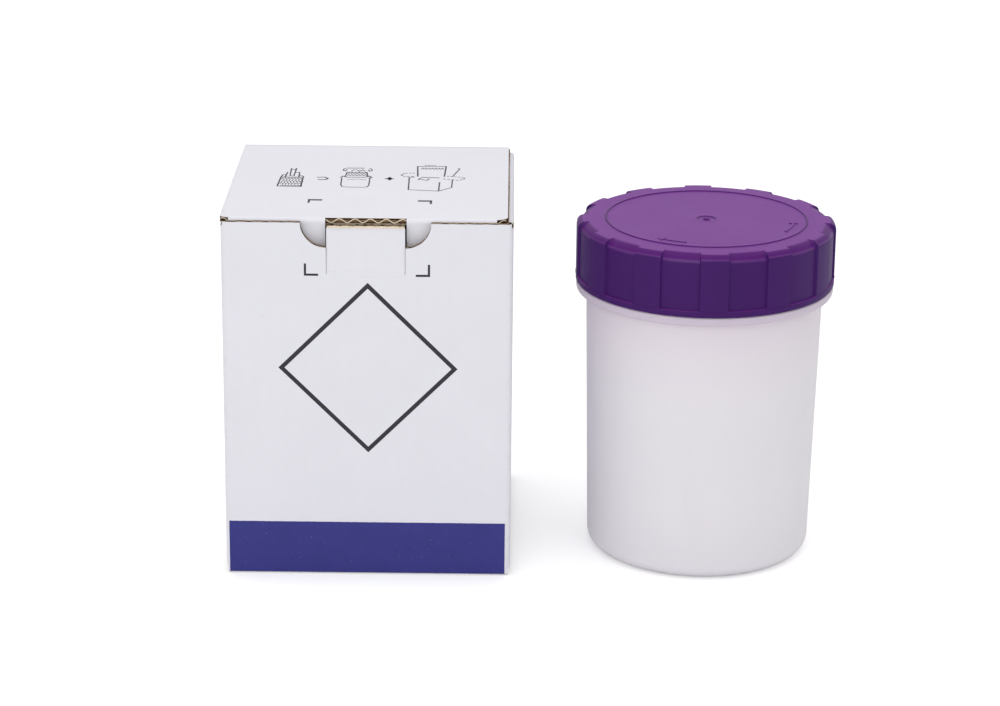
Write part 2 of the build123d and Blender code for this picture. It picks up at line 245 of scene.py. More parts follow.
class Finish:
    """A material under construction."""

    def __init__(self, name, **shader):
        self.material = bpy.data.materials.new(name)
        self.material.use_nodes = True
        self.tree = self.material.node_tree
        self.tree.nodes.clear()
        self.output = self.tree.nodes.new("ShaderNodeOutputMaterial")
        self.shader = self.tree.nodes.new("ShaderNodeBsdfPrincipled")
        self.tree.links.new(self.shader.outputs[0], self.output.inputs[0])
        for socket, value in shader.items():
            self.shader.inputs[socket.replace("_", " ")].default_value = value
        self.place = self.node("ShaderNodeTexCoord", out="Object")

    def node(self, kind, settings=None, inputs=None, out=0):
        """Any node: its settings are set first, then the values or links of its sockets."""
        made = self.tree.nodes.new(kind)
        for key, value in (settings or {}).items():
            setattr(made, key, value)
        for key, value in (inputs or {}).items():
            if isinstance(value, Sock):
                self.tree.links.new(value.socket, made.inputs[key])
            else:
                made.inputs[key].default_value = value
        return Sock(self.tree, made.outputs[out])

    def axes(self, of=None):
        """The three parts of a vector, which is the place on the object unless another is given."""
        split = self.tree.nodes.new("ShaderNodeSeparateXYZ")
        self.tree.links.new((of or self.place).socket, split.inputs[0])
        return [Sock(self.tree, socket) for socket in split.outputs]

    def noise(self, size, detail=3.0, rough=0.55, stretch=(1, 1, 1)):
        """Noise whose features are about size metres across, centred on 0.5."""
        scaled = self.node(
            "ShaderNodeVectorMath", {"operation": "MULTIPLY"}, {0: self.place, 1: stretch})
        return self.node(
            "ShaderNodeTexNoise", None,
            {"Vector": scaled, "Scale": 1 / size, "Detail": detail, "Roughness": rough})

    def mix(self, first, second, share):
        """Colours blended by share, 0 to 1."""
        def rgba(colour):
            return colour if isinstance(colour, Sock) else (*tuple(colour)[:3], 1.0)
        return self.node(
            "ShaderNodeMix", {"data_type": "RGBA"}, {0: share, 6: rgba(first), 7: rgba(second)}, out=2)

    def feed(self, socket, value):
        self.tree.links.new(value.socket, self.shader.inputs[socket])

    def fed(self, socket):
        """What feeds the socket now."""
        return Sock(self.tree, self.shader.inputs[socket].links[0].from_socket)

    def surface(self, colour, roughness, height, depth, strength):
        """Feed colour and roughness, and bump the surface by height, 0 to 1, times depth."""
        self.feed("Base Color", colour)
        self.feed("Roughness", roughness)
        self.feed("Normal", self.node(
            "ShaderNodeBump", None, {"Height": height, "Distance": depth, "Strength": strength}))
        return self


def shade(colour, factor):
    return tuple(min(1.0, c * factor) for c in tuple(colour)[:3])


def finish_named(name):
    """Each finish of the table below is made once and shared."""
    found = bpy.data.materials.get(name)
    if found:
        return found
    recipe, groups, *more = FINISHES[name]
    return recipe(name, *(getattr(bpy.context.scene, group) for group in groups), *more).material


# ---------------------------------------------------------------- finishes of the board
def flute_relief(finish, across, pitch):
    """The flutes showing faintly through the face, as a soft washboard."""
    x, y, _ = finish.axes()
    run = x if across == "x" else y
    drift = finish.noise(0.05, 2.0)
    return (run * (2 * pi / pitch) + drift * 2.0).sine() * 0.5 + 0.5


def fibre(finish):
    """Paper fibre: fine short streaks in two directions."""
    along = finish.noise(0.0011, 4.0, 0.65, (1, 0.35, 1))
    across = finish.noise(0.0008, 3.0, 0.6, (0.35, 1, 0.5))
    return along * 0.6 + across * 0.4


def edge_wear(finish):
    """Rubbed strips along the carton's outer edges, broken up by noise."""
    x, y, z = finish.axes()
    side = abs(x).ramp(SIDE_X - 1.6 * MM, SIDE_X - 0.5 * MM)
    front = abs(y).ramp(BACK_Y - 1.6 * MM, BACK_Y - 0.5 * MM)
    foot = z.ramp(1.3 * MM, 0.35 * MM)
    head = z.ramp(LID_TOP - 1.0 * MM, LID_TOP - 0.2 * MM)
    upright = side * front
    level = (side + front).least(1.0) * (foot + head).least(1.0)
    patches = finish.noise(0.004, 5.0, 0.7).ramp(0.5, 0.62)
    return (upright + level).least(1.0) * patches


def white_face(name, board, across):
    finish = Finish(name, Specular_IOR_Level=0.36)
    cloud = finish.noise(0.03, 4.0, 0.6)
    grain = fibre(finish)
    flutes = flute_relief(finish, across, board.pitch)
    wear = edge_wear(finish)
    specks = finish.noise(0.0016, 2.0, 0.5).ramp(0.745, 0.775)
    base = finish.mix(shade(board.white, 0.955), shade(board.white, 1.025), cloud)
    base = finish.mix(base, shade(board.white, 0.93), grain.ramp(0.42, 0.75) * 0.28)
    base = finish.mix(base, shade(board.white, 0.97), flutes * 0.22)
    base = finish.mix(base, RUBBED_PAPER, wear * 0.35)
    base = finish.mix(base, PAPER_SPECK, specks * 0.3)
    height = flutes * 0.3 + grain * 0.25 + cloud * 0.45
    return finish.surface(base, 0.5 + grain * 0.16 + wear * 0.12, height, 0.12 * MM, 0.55)


def banded_face(name, board, printing):
    """The front's white face with its ink band along the foot, worn through at the creases."""
    finish = white_face(name, board, "x")
    x, _, z = finish.axes()
    ragged = finish.noise(0.0012, 3.0) * (0.24 * MM) - 0.12 * MM
    soft = 0.07 * MM
    band = (z + ragged).ramp(printing.band_height + soft, printing.band_height - soft)
    left = (x + ragged).ramp(-SIDE_X + 1.35 * MM, -SIDE_X + 1.55 * MM)
    right = (x + ragged).ramp(SIDE_X - 2.15 * MM, SIDE_X - 2.35 * MM)
    rub = z.ramp(0.75 * MM, 0.3 * MM) * finish.noise(0.006, 4.0, 0.7, (1, 1, 0.2)).ramp(0.36, 0.56)
    pinholes = finish.noise(0.0007, 2.0, 0.6).ramp(0.7, 0.8)
    covered = band * left * right * (1 - rub * 0.8) * (1 - pinholes * 0.3)
    cloud = finish.noise(0.012, 3.0)
    ink = finish.mix(shade(printing.band_ink, 0.88), shade(printing.band_ink, 1.16), cloud)
    finish.feed("Base Color", finish.mix(finish.fed("Base Color"), ink, covered))
    finish.feed("Roughness", finish.fed("Roughness") - covered * 0.1)
    return finish


def kraft_face(name, board, across):
    finish = Finish(name, Specular_IOR_Level=0.25)
    cloud = finish.noise(0.02, 4.0, 0.6)
    grain = fibre(finish)
    flutes = flute_relief(finish, across, board.pitch)
    flecks = finish.noise(0.0013, 2.0, 0.5, (1, 0.4, 1)).ramp(0.66, 0.72)
    base = finish.mix(shade(board.kraft, 0.86), shade(board.kraft, 1.12), cloud)
    base = finish.mix(base, shade(board.kraft, 0.72), grain.ramp(0.45, 0.7) * 0.45)
    base = finish.mix(base, shade(board.kraft, 0.8), flutes * 0.3)
    base = finish.mix(base, shade(board.kraft, 0.45), flecks * 0.5)
    return finish.surface(base, 0.72 + grain * 0.2, flutes * 0.4 + grain * 0.6, 0.2 * MM, 0.6)


def frayed(name, tones, patch, grain_size, patch_size, patchy, rough, relief):
    """Cut or torn paper: loose fibres between two tones, with patches of a third.

    patchy is the patches' share and the noise levels where they start and are full, rough the base
    and reach of the roughness, and relief the fibres' depth in mm and the bump's strength.
    """
    finish = Finish(name, Specular_IOR_Level=0.15)
    grain = finish.noise(grain_size, 4.0, 0.7)
    share, start, full = patchy
    patches = finish.noise(patch_size, 3.0, 0.6).ramp(start, full) * share
    base = finish.mix(finish.mix(*tones, grain), patch, patches)
    return finish.surface(base, rough[0] + grain * rough[1], grain, relief[0] * MM, relief[1])


def cut_edge(name, board):
    """Knife-cut paper: dusty, torn fibres, its brown darkened by painted shade of the gaps that it
    lines.
    """
    tones = shade(board.raw_edge_and_shade, 0.6), shade(board.raw_edge_and_shade, 1.45)
    return frayed(
        name, tones, shade(board.kraft, 0.95), 0.0006, 0.005,
        (0.5, 0.5, 0.68), (0.85, 0.1), (0.2, 0.8))


def shaded_paper(name, board, specular, tones, rough):
    """Kraft paper between the faces, dark because little light gets in."""
    finish = Finish(name, Specular_IOR_Level=specular)
    grain = fibre(finish)
    base = finish.mix(shade(board.kraft, tones[0]), shade(board.kraft, tones[1]), grain)
    return finish.surface(base, rough[0] + grain * rough[1], grain, 0.1 * MM, 0.6)


def fluted_paper(name, board):
    return shaded_paper(name, board, 0.2, (0.04, 0.1), (0.8, 0.12))


def flute_shade(name, board):
    return shaded_paper(name, board, 0.05, (0.03, 0.07), (0.88, 0.1))


def cut_flute(name, board):
    """The fluted paper's knife-cut edge: pale, with loose fibres."""
    tones = shade(board.flute_edge, 0.8), shade(board.flute_edge, 1.12)
    return frayed(
        name, tones, shade(board.flute_edge, 0.6), 0.0005, 0.004,
        (0.5, 0.55, 0.72), (0.85, 0.1), (0.15, 0.7))


def torn_liner(name, board):
    """Kraft liner torn ragged at the slot: bright fibres, with painted shade for the gaps between them.
    """
    tones = shade(board.kraft, 0.42), shade(board.flute_edge, 0.5)
    return frayed(
        name, tones, shade(board.raw_edge_and_shade, 0.5), 0.0006, 0.003,
        (0.8, 0.48, 0.62), (0.88, 0.08), (0.2, 0.8))


def line_ink(name, printing):
    finish = Finish(name, Specular_IOR_Level=0.4)
    grain = finish.noise(0.0006, 3.0, 0.6)
    patches = finish.noise(0.006, 3.0)
    base = finish.mix(shade(printing.line_ink, 0.85), shade(printing.line_ink, 1.6), patches)
    base = finish.mix(base, PALE_INK, grain.ramp(0.7, 0.8) * 0.4)
    return finish.surface(base, 0.42 + grain * 0.2, grain, 0.03 * MM, 0.4)


# ---------------------------------------------------------------- finishes of the jar
def moulded_lid(name, jar):
    """Pigmented polypropylene: fine spark-eroded grain, flow marks, scuffs, a matt roof; painted light
    makes the roof paler, tones the shoulder and lays a highlight band below it.
    """
    finish = Finish(
        name, Specular_IOR_Level=0.2, IOR=1.49, Subsurface_Weight=0.12, Coat_Roughness=0.14,
        Subsurface_Radius=(0.5, 0.2, 0.7), Subsurface_Scale=0.0012)
    cloud = finish.noise(0.035, 3.0, 0.5)
    flow = finish.noise(0.02, 3.0, 0.6, (1, 1, 0.25))
    grain = finish.noise(0.00045, 2.0, 0.5)
    scuffs = finish.noise(0.002, 4.0, 0.7, (1, 0.15, 1)).ramp(0.69, 0.76)
    _, _, level = finish.axes(finish.node("ShaderNodeTexCoord", out="Normal"))
    # painted light and shade: from the wall up towards the roof the lid takes the shoulder's painted
    # tone
    shoulder = level.ramp(0.3, 0.62)
    # painted light: faces that point up take the paler roof colour; only the roof's extra roughness is
    # its matt finish
    roof = level.ramp(0.95, 0.995)
    # painted highlight: a band low on the shoulder painted paler, where the coat also adds a little real
    # gloss
    highlight_band = level.ramp(0.2, 0.36) * level.ramp(0.58, 0.42)
    base = finish.mix(shade(jar.lid_colour, 0.93), shade(jar.lid_colour, 1.07), cloud)
    base = finish.mix(base, shade(jar.lid_colour, 1.18), flow.ramp(0.56, 0.74) * 0.35)
    base = finish.mix(base, shade(jar.lid_colour, 1.6), scuffs * 0.2)
    base = finish.mix(base, jar.shoulder_light_colour, shoulder)
    base = finish.mix(base, shade(jar.lit_roof_colour, 0.8), highlight_band * 0.5)
    # painted light: the paler roof colour, laid over the faces that point up
    matt = finish.mix(shade(jar.lit_roof_colour, 0.95), shade(jar.lit_roof_colour, 1.05), cloud)
    base = finish.mix(base, matt, roof)
    finish.feed("Coat Weight", highlight_band * 0.16)
    rough = 0.4 + flow * 0.1 + grain * 0.06 + scuffs * 0.1 + roof * 0.06
    return finish.surface(base, rough, grain * 0.5 + cloud * 0.5, 0.05 * MM, 0.45)


def natural_plastic(name, jar):
    """Unpigmented polypropylene: milky, lit through, with faint moulding clouds."""
    finish = Finish(
        name, Specular_IOR_Level=0.42, IOR=1.49, Transmission_Weight=0.1, Subsurface_Weight=0.6,
        Subsurface_Radius=(1.0, 0.95, 1.0), Subsurface_Scale=0.003)
    _, _, z = finish.axes()
    cloud = finish.noise(0.045, 3.0, 0.5)
    streak = finish.noise(0.016, 3.0, 0.6, (1, 1, 0.12))
    grain = finish.noise(0.0007, 2.0, 0.5)
    collar = z.ramp(112.2 * MM, 113.0 * MM) * z.ramp(117.0 * MM, 116.6 * MM)
    base = finish.mix(shade(jar.body_colour, 0.965), shade(jar.body_colour, 1.02), cloud)
    base = finish.mix(base, shade(jar.body_colour, 0.93), streak.ramp(0.55, 0.75) * 0.3)
    base = finish.mix(base, shade(jar.body_colour, 0.95), z.ramp(35 * MM, 5 * MM) * 0.8)
    # painted light: the lid's purple, painted on the upper body and on the collar
    base = finish.mix(base, jar.body_lid_light, z.ramp(70 * MM, 112 * MM))
    base = finish.mix(base, jar.collar_lid_light, collar)
    rough = 0.36 + cloud * 0.12 + grain * 0.05
    return finish.surface(base, rough, cloud * 0.7 + grain * 0.3, 0.06 * MM, 0.35)


def foam_seal(name, jar):
    finish = Finish(name, Specular_IOR_Level=0.3)
    cells = finish.node(
        "ShaderNodeTexVoronoi", {"feature": "F1"}, {"Vector": finish.place, "Scale": 1 / 0.0007})
    base = finish.mix(shade(jar.seal_colour, 0.86), shade(jar.seal_colour, 1.04), cells)
    base = finish.mix(base, shade(jar.seal_colour, 0.92), finish.noise(0.01, 2.0) * 0.4)
    return finish.surface(base, 0.7 + cells * 0.15, cells, 0.08 * MM, 0.6)


def pale_floor(name):
    """White sweep: seen directly it is white but for the object's shadow."""
    finish = Finish(name, Roughness=0.9, Specular_IOR_Level=0.1)
    paper = finish.noise(0.2, 2.0)
    finish.feed("Base Color", finish.mix((0.86, 0.86, 0.86), (0.88, 0.88, 0.88), paper))
    seen = finish.node("ShaderNodeLightPath", out="Is Camera Ray")
    lift = 0.32
    glow = finish.node("ShaderNodeEmission", None, {"Strength": seen * lift})
    both = finish.tree.nodes.new("ShaderNodeAddShader")
    finish.tree.links.new(finish.shader.outputs[0], both.inputs[0])
    finish.tree.links.new(glow.socket, both.inputs[1])
    finish.tree.links.new(both.outputs[0], finish.output.inputs[0])
    return finish


FINISHES = {  # by name: the recipe, the settings that it reads and what else it is told
    "white_face_flutes_x": (white_face, ("pack_board",), "x"),
    "white_face_flutes_y": (white_face, ("pack_board",), "y"),
    "white_face_banded": (banded_face, ("pack_board", "pack_print")),
    "kraft_face_flutes_x": (kraft_face, ("pack_board",), "x"),
    "kraft_face_flutes_y": (kraft_face, ("pack_board",), "y"),
    "cut_paper_edge": (cut_edge, ("pack_board",)),
    "fluted_medium": (fluted_paper, ("pack_board",)),
    "cut_flute_edge": (cut_flute, ("pack_board",)),
    "torn_liner": (torn_liner, ("pack_board",)),
    "flute_shade": (flute_shade, ("pack_board",)),
    "line_ink": (line_ink, ("pack_print",)),
    "natural_plastic": (natural_plastic, ("pack_jar",)),
    "moulded_lid": (moulded_lid, ("pack_jar",)),
    "foam_seal": (foam_seal, ("pack_jar",)),
    "pale_floor": (pale_floor, ()),
}


# ---------------------------------------------------------------- mesh helpers
def new_piece(name, mesh, finishes, body=None):
    """An object with its finishes, named in the order of the mesh's material slots."""
    piece = bpy.data.objects.new(name, mesh)
    bpy.context.scene.collection.objects.link(piece)
    for finish in finishes:
        mesh.materials.append(finish_named(finish))
    if body:
        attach(piece, body)
    return piece


def mesh_of(name, points, faces, slots=()):
    """A mesh from points and faces; slots are the faces' materials."""
    mesh = bpy.data.meshes.new(name)
    mesh.from_pydata([tuple(p) for p in points], [], faces)
    for face, slot in zip(mesh.polygons, slots):
        face.material_index = slot
    mesh.update()
    return mesh


def outward_mesh(name, points, faces, slots=(), weld=None):
    """The same with its faces turned outwards, and with points nearer than weld joined."""
    mesh = mesh_of(name, points, faces, slots)
    shape = bmesh.new()
    shape.from_mesh(mesh)
    if weld:
        bmesh.ops.remove_doubles(shape, verts=shape.verts, dist=weld)
    bmesh.ops.recalc_face_normals(shape, faces=shape.faces)
    shape.to_mesh(mesh)
    shape.free()
    return mesh


def prisms(polygons, place, low, high):
    """Flat polygons raised from low to high, without undersides; place(x, y, height) gives a point."""
    points, faces = [], []
    for polygon in polygons:
        start, count = len(points), len(polygon)
        points += [place(x, y, height) for height in (low, high) for x, y in polygon]
        faces.append([start + count + i for i in range(count)])
        for i in range(count):
            j = (i + 1) % count
            faces.append([start + i, start + j, start + count + j, start + count + i])
    return points, faces


def smooth(mesh, angle):
    for face in mesh.polygons:
        face.use_smooth = True
    mesh.set_sharp_from_angle(angle=radians(angle))


def node_mesh(node):
    """The CAD node's shape as one closed bmesh."""
    shape = bmesh.new()
    shape.from_mesh(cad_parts[node].data)
    bmesh.ops.remove_doubles(shape, verts=shape.verts, dist=1e-6)
    return shape


# ---------------------------------------------------------------- corrugated board
def drawn_in(node, outward, depth):
    """The CAD node's shape with its papered sides moved in by depth and its cut edges kept."""
    shape = node_mesh(node)
    normal = Vector(outward)
    steps = []
    for vertex in shape.verts:
        step = Vector((0, 0, 0))
        for _ in range(24):
            for face in vertex.link_faces:
                wanted = depth if abs(face.normal.dot(normal)) > 0.3 else 0.0
                step -= face.normal * (step.dot(face.normal) + wanted)
        steps.append(step)
    for vertex, step in zip(shape.verts, steps):
        vertex.co += step
    return shape


def paper_face(node, outward, facing, thickness, front_slot, rim_slot):
    """One liner: the CAD faces that face that way, thickened into the board, with cut rims."""
    shape = node_mesh(node)
    aim = Vector(outward) * facing
    if facing < 0:
        for vertex in shape.verts:
            behind = [f.normal for f in vertex.link_faces if f.normal.dot(aim) < -0.3]
            mitres = [f.normal for f in vertex.link_faces if SQUARE_ON < f.normal.dot(aim) < 0.95]
            if behind and mitres:
                vertex.co += (aim - mitres[0] * mitres[0].dot(aim)).normalized() * (2.2 * thickness)
    away = [f for f in shape.faces if f.normal.dot(aim) < SQUARE_ON]
    bmesh.ops.delete(shape, geom=away, context="FACES")
    bmesh.ops.dissolve_limit(shape, angle_limit=radians(0.5), verts=shape.verts, edges=shape.edges)
    bmesh.ops.recalc_face_normals(shape, faces=shape.faces)
    if shape.faces and sum(f.normal.dot(aim) * f.calc_area() for f in shape.faces) < 0:
        bmesh.ops.reverse_faces(shape, faces=shape.faces)
    inside = []
    for vertex in shape.verts:
        normal = sum((face.normal for face in vertex.link_faces), Vector((0, 0, 0))).normalized()
        worst = min(normal.dot(face.normal) for face in vertex.link_faces)
        inside.append(vertex.co - normal * thickness / max(worst, 0.5))
    count = len(shape.verts)
    points = [v.co.copy() for v in shape.verts] + inside
    faces, slots = [], []
    for face in shape.faces:
        loop = [v.index for v in face.verts]
        faces += [loop, [i + count for i in reversed(loop)]]
        slots += [front_slot, rim_slot]
        for corner in face.loops:
            if len(corner.edge.link_faces) == 1:
                a = corner.vert.index
                b = corner.link_loop_next.vert.index
                faces.append([b, a, a + count, b + count])
                slots.append(rim_slot)
    shape.free()
    return points, faces, slots


def wave(distance, board):
    """Height of the fluted paper's middle, with the small unevenness of real board."""
    swing = (board.caliper - 2 * board.liner - board.medium) / 2
    drift = 0.35 * sin(distance * 71.0 + 0.6) + 0.2 * sin(distance * 173.0)
    return swing * sin(2 * pi * distance / board.pitch + drift)


def wave_slope(distance, board):
    near = 0.01 * MM
    return (wave(distance + near, board) - wave(distance - near, board)) / (2 * near)


def waved_sheet(node, outward, across, board):
    """Points and faces of a waved sheet that reaches past the node, and the direction of its flutes."""
    normal = Vector(outward).normalized()
    sideways = Vector((1, 0, 0)) if across == "x" else Vector((0, 1, 0))
    along = normal.cross(sideways).normalized()
    corners = [Vector(corner) for corner in product(*zip(*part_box(node)))]

    def span(way):
        places = [corner.dot(way) for corner in corners]
        return min(places) - 1 * MM, max(places) + 1 * MM

    start, end = span(sideways)
    middle = max(v.co.dot(normal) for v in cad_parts[node].data.vertices) - board.caliper / 2
    steps = max(2, round((end - start) / board.pitch * STEPS_A_WAVE))
    half = board.medium / 2
    upper, lower = [], []
    for index in range(steps + 1):
        u = start + (end - start) * index / steps
        h, slope = wave(u, board), wave_slope(u, board)
        tilt = hypot(1, slope)
        upper.append((u - slope / tilt * half, middle + h + half / tilt))
        lower.append((u + slope / tilt * half, middle + h - half / tilt))
    outline = upper + lower[::-1]
    count = len(outline)
    points = [sideways * u + normal * h + along * v for v in span(along) for u, h in outline]
    faces = []
    for index in range(steps):
        other = count - 1 - index
        faces.append([index, index + 1, other - 1, other])
        faces.append([count + index, count + other, count + other - 1, count + index + 1])
    for index in range(count):
        following = (index + 1) % count
        faces.append([index, count + index, count + following, following])
    return points, faces, along


def fluted_sheet(node, outward, across, board, paper_slot, edge_slot):
    """The fluted medium between the node's faces: a waved sheet kept where the CAD solid is."""
    points, faces, along = waved_sheet(node, outward, across, board)
    sheet = bpy.data.objects.new(node + ".sheet", outward_mesh(node + ".sheet", points, faces))
    body = drawn_in(node, outward, 0.9 * board.liner)
    solid = bpy.data.objects.new(node + ".solid", bpy.data.meshes.new(node + ".solid"))
    body.to_mesh(solid.data)
    body.free()
    for item in (sheet, solid):
        bpy.context.scene.collection.objects.link(item)
    cut = sheet.modifiers.new("kept", "BOOLEAN")
    cut.operation = "INTERSECT"
    cut.solver = "EXACT"
    cut.use_self = True
    cut.object = solid
    bpy.context.view_layer.update()
    kept = bpy.data.meshes.new_from_object(sheet.evaluated_get(bpy.context.evaluated_depsgraph_get()))
    points = [v.co.copy() for v in kept.vertices]
    faces = [list(p.vertices) for p in kept.polygons]
    slots = [edge_slot if abs(p.normal.dot(along)) > 0.5 else paper_slot for p in kept.polygons]
    for mesh in (sheet.data, solid.data, kept):
        bpy.data.meshes.remove(mesh)
    if not faces:
        raise RuntimeError(f"the fluted sheet of {node} came out empty")
    return points, faces, slots


def board_piece(context, node, outward, across, body):
    """A panel of single-wall board in place of its CAD solid: two papers and the flutes between."""
    board = context.scene.pack_board
    outer = "white_face_banded" if node == "front_wall" else "white_face_flutes_" + across
    finishes = (
        outer, "kraft_face_flutes_" + across, "cut_paper_edge", "fluted_medium", "cut_flute_edge")
    white, kraft, rim, medium, flute_edge = range(len(finishes))
    points, faces, slots = [], [], []
    for part in (
            paper_face(node, outward, 1, board.liner, white, rim),
            paper_face(node, outward, -1, board.liner, kraft, rim),
            fluted_sheet(node, outward, across, board, medium, flute_edge)):
        shift = len(points)
        points += part[0]
        faces += [[i + shift for i in face] for face in part[1]]
        slots += part[2]
    middle = sum(corner.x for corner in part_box(node)) / 2
    spread = TAB_SPREAD if node == "lock_tab" else 1.0
    points = [(middle + (p[0] - middle) * spread, p[1], p[2]) for p in points]
    mesh = mesh_of("board_" + node, points, faces, slots)
    smooth(mesh, 30.0)
    piece = new_piece("board_" + node, mesh, finishes, body)
    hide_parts(node)


BOARD_PANELS = {
    "walls": [
        ("front_wall", (0, -1, 0), "x", "carton"),
        ("back_wall", (0, 1, 0), "x", "carton"),
        ("left_wall", (-1, 0, 0), "y", "carton"),
        ("right_wall", (1, 0, 0), "y", "carton"),
        ("glue_flap", (-1, 0, 0), "y", "carton"),
    ],
    "base": [
        ("base_flap_front", (0, 0, -1), "x", "carton"),
        ("base_flap_back", (0, 0, -1), "x", "carton"),
        ("base_flap_left", (0, 0, -1), "y", "carton"),
        ("base_flap_right", (0, 0, -1), "y", "carton"),
    ],
    "lid": [
        ("lid_panel", (0, 0, 1), "x", "lid"),
        ("tuck_flap", (0, -cos(TUCK_SLANT), -sin(TUCK_SLANT)), "x", "tuck"),
        ("dust_flap_left", (0, 0, 1), "y", "dust_left"),
        ("dust_flap_right", (0, 0, 1), "y", "dust_right"),
        ("lock_tab", (0, -cos(TAB_LEAN), sin(TAB_LEAN)), "x", "lock"),
    ],
}


class PACK_OT_walls(bpy.types.Operator):
    """Build the four walls and the glued flap as printed corrugated board"""

    bl_idname = "pack.walls"
    bl_label = "Carton walls"

    def execute(self, context):
        for panel in BOARD_PANELS["walls"]:
            board_piece(context, *panel)
        return {"FINISHED"}


class PACK_OT_base(bpy.types.Operator):
    """Build the four hooked and plain base flaps"""

    bl_idname = "pack.base"
    bl_label = "Carton base"

    def execute(self, context):
        for panel in BOARD_PANELS["base"]:
            board_piece(context, *panel)
        return {"FINISHED"}


class PACK_OT_lid_board(bpy.types.Operator):
    """Build the carton's lid, tuck flap, dust flaps and lock tab"""

    bl_idname = "pack.lid_board"
    bl_label = "Carton lid and flaps"

    def execute(self, context):
        for panel in BOARD_PANELS["lid"]:
            board_piece(context, *panel)
        return {"FINISHED"}


def ribbon(name, rows, finishes, body, slots=None):
    """A closed strip from sections with the same number of points; slots are its sides' materials."""
    count = len(rows[0])
    slots = slots or (0,) * count
    last = (len(rows) - 1) * count
    faces, kinds = [], []
    for a in range(0, last, count):
        for k in range(count):
            m = (k + 1) % count
            faces.append([a + k, a + count + k, a + count + m, a + m])
            kinds.append(slots[k])
    faces += [list(range(count)), [last + k for k in reversed(range(count))]]
    kinds += [slots[0]] * 2
    points = [point for row in rows for point in row]
    new_piece(name, outward_mesh(name, points, faces, kinds), finishes, body)


def upright_section(x, back, front, low, high):
    """A rectangle across the board at x."""
    return [(x, back, low), (x, front, low), (x, front, high), (x, back, high)]


class PACK_OT_slot_edge(bpy.types.Operator):
    """Show the lid's cut edge behind the lock tab: open flutes over a torn inner paper"""

    bl_idname = "pack.slot_edge"
    bl_label = "Slot edge"

    def execute(self, context):
        board = context.scene.pack_board
        start, end = SLOT_ENDS[0] + 0.1 * MM, SLOT_ENDS[1] - 0.1 * MM
        cut = LID_FRONT_Y + 1.28 * MM
        underside = LID_TOP - board.caliper

        low, high = underside + 0.03 * MM, underside + board.liner * 0.8
        back = cut + 0.7 * MM
        torn, flutes, top = [], [], []
        for index in range(SLOT_STEPS + 1):
            x = start + (end - start) * index / SLOT_STEPS
            ragged = 0.16 * sin(x * 900.0) + 0.11 * sin(x * 2300.0 + 1.0) + 0.06 * sin(x * 5100.0)
            front = cut - (0.35 + ragged) * MM
            droop = (0.75 + 0.45 * sin(x * 640.0 + 0.4) + 0.25 * sin(x * 1900.0)) * MM
            torn.append([
                (x, back, low), (x, front - 0.1 * MM, low - max(0.1 * MM, droop)),
                (x, front, low), (x, front + 0.06 * MM, high), (x, back, high)])

            middle = LID_TOP - board.caliper / 2 + wave(x, board)
            half = 0.62 * board.medium * hypot(1, wave_slope(x, board))
            front = cut + 0.05 * MM * sin(x * 3100.0)
            flutes.append(upright_section(x, cut + 1.9 * MM, front, middle - half, middle + half))

            x = TAB_LOW.x + (TAB_HIGH.x - TAB_LOW.x) * index / SLOT_STEPS
            ragged = (0.1 + 0.08 * sin(x * 1300.0) + 0.05 * sin(x * 3700.0)) * MM
            top.append(upright_section(
                x, TAB_LOW.y + 2.3 * MM, TAB_LOW.y + board.liner,
                TAB_HIGH.z - 0.2 * MM, TAB_HIGH.z + ragged))
        ribbon("slot_torn_liner", torn, ["torn_liner"], "lid")
        ribbon("slot_flutes", flutes, ["fluted_medium", "cut_flute_edge"], "lid", (0, 1, 0, 0))
        ribbon("tab_torn_top", top, ["cut_flute_edge"], "lock")

        # painted shade: a dark sheet on the inner paper, inside the open flutes, where the flute tunnels
        # lie in shade
        floor = underside + board.liner
        hollow = [
            upright_section(x, cut + 9 * MM, cut + 0.5 * MM, floor, floor + 0.06 * MM)
            for x in (start, end)]
        ribbon("slot_shade_sheet", hollow, ["flute_shade"], "lid")
        return {"FINISHED"}


class PACK_OT_corner_fold(bpy.types.Operator):
    """Carry the white paper over the back right corner, beyond the lid's edge"""

    bl_idname = "pack.corner_fold"
    bl_label = "Corner fold"

    def execute(self, context):
        top, inner, foot = LID_TOP - 2.76 * MM, SIDE_X - 2.32 * MM, LID_TOP - 5.5 * MM
        front, pitch, tight = BACK_Y - 5.55 * MM, 0.3 * MM, 0.4 * MM
        sections = []
        for step in range(19):
            y = front + pitch * step
            past = max(0.0, y - (BACK_Y - WALL_BEND))
            reach = SIDE_X - WALL_BEND + sqrt(WALL_BEND ** 2 - past ** 2) + 0.02 * MM
            square = min(1.0, max(0.0, (y - BACK_Y + 4.4 * MM) / (2 * MM)))
            radius = min(reach - inner, WALL_BEND * (1 - square) + tight * square)
            rows = [(reach, foot)] + arc((reach - radius, top - radius), radius, 0, 90, 5)
            rows += [(inner, top + 0.02 * MM), (inner, top - 0.3 * MM), (reach - 0.15 * MM, foot)]
            sections.append([(x, y, z) for x, z in rows])
        ribbon("corner_fold_right", sections, ["white_face_flutes_y"], "carton")
        return {"FINISHED"}


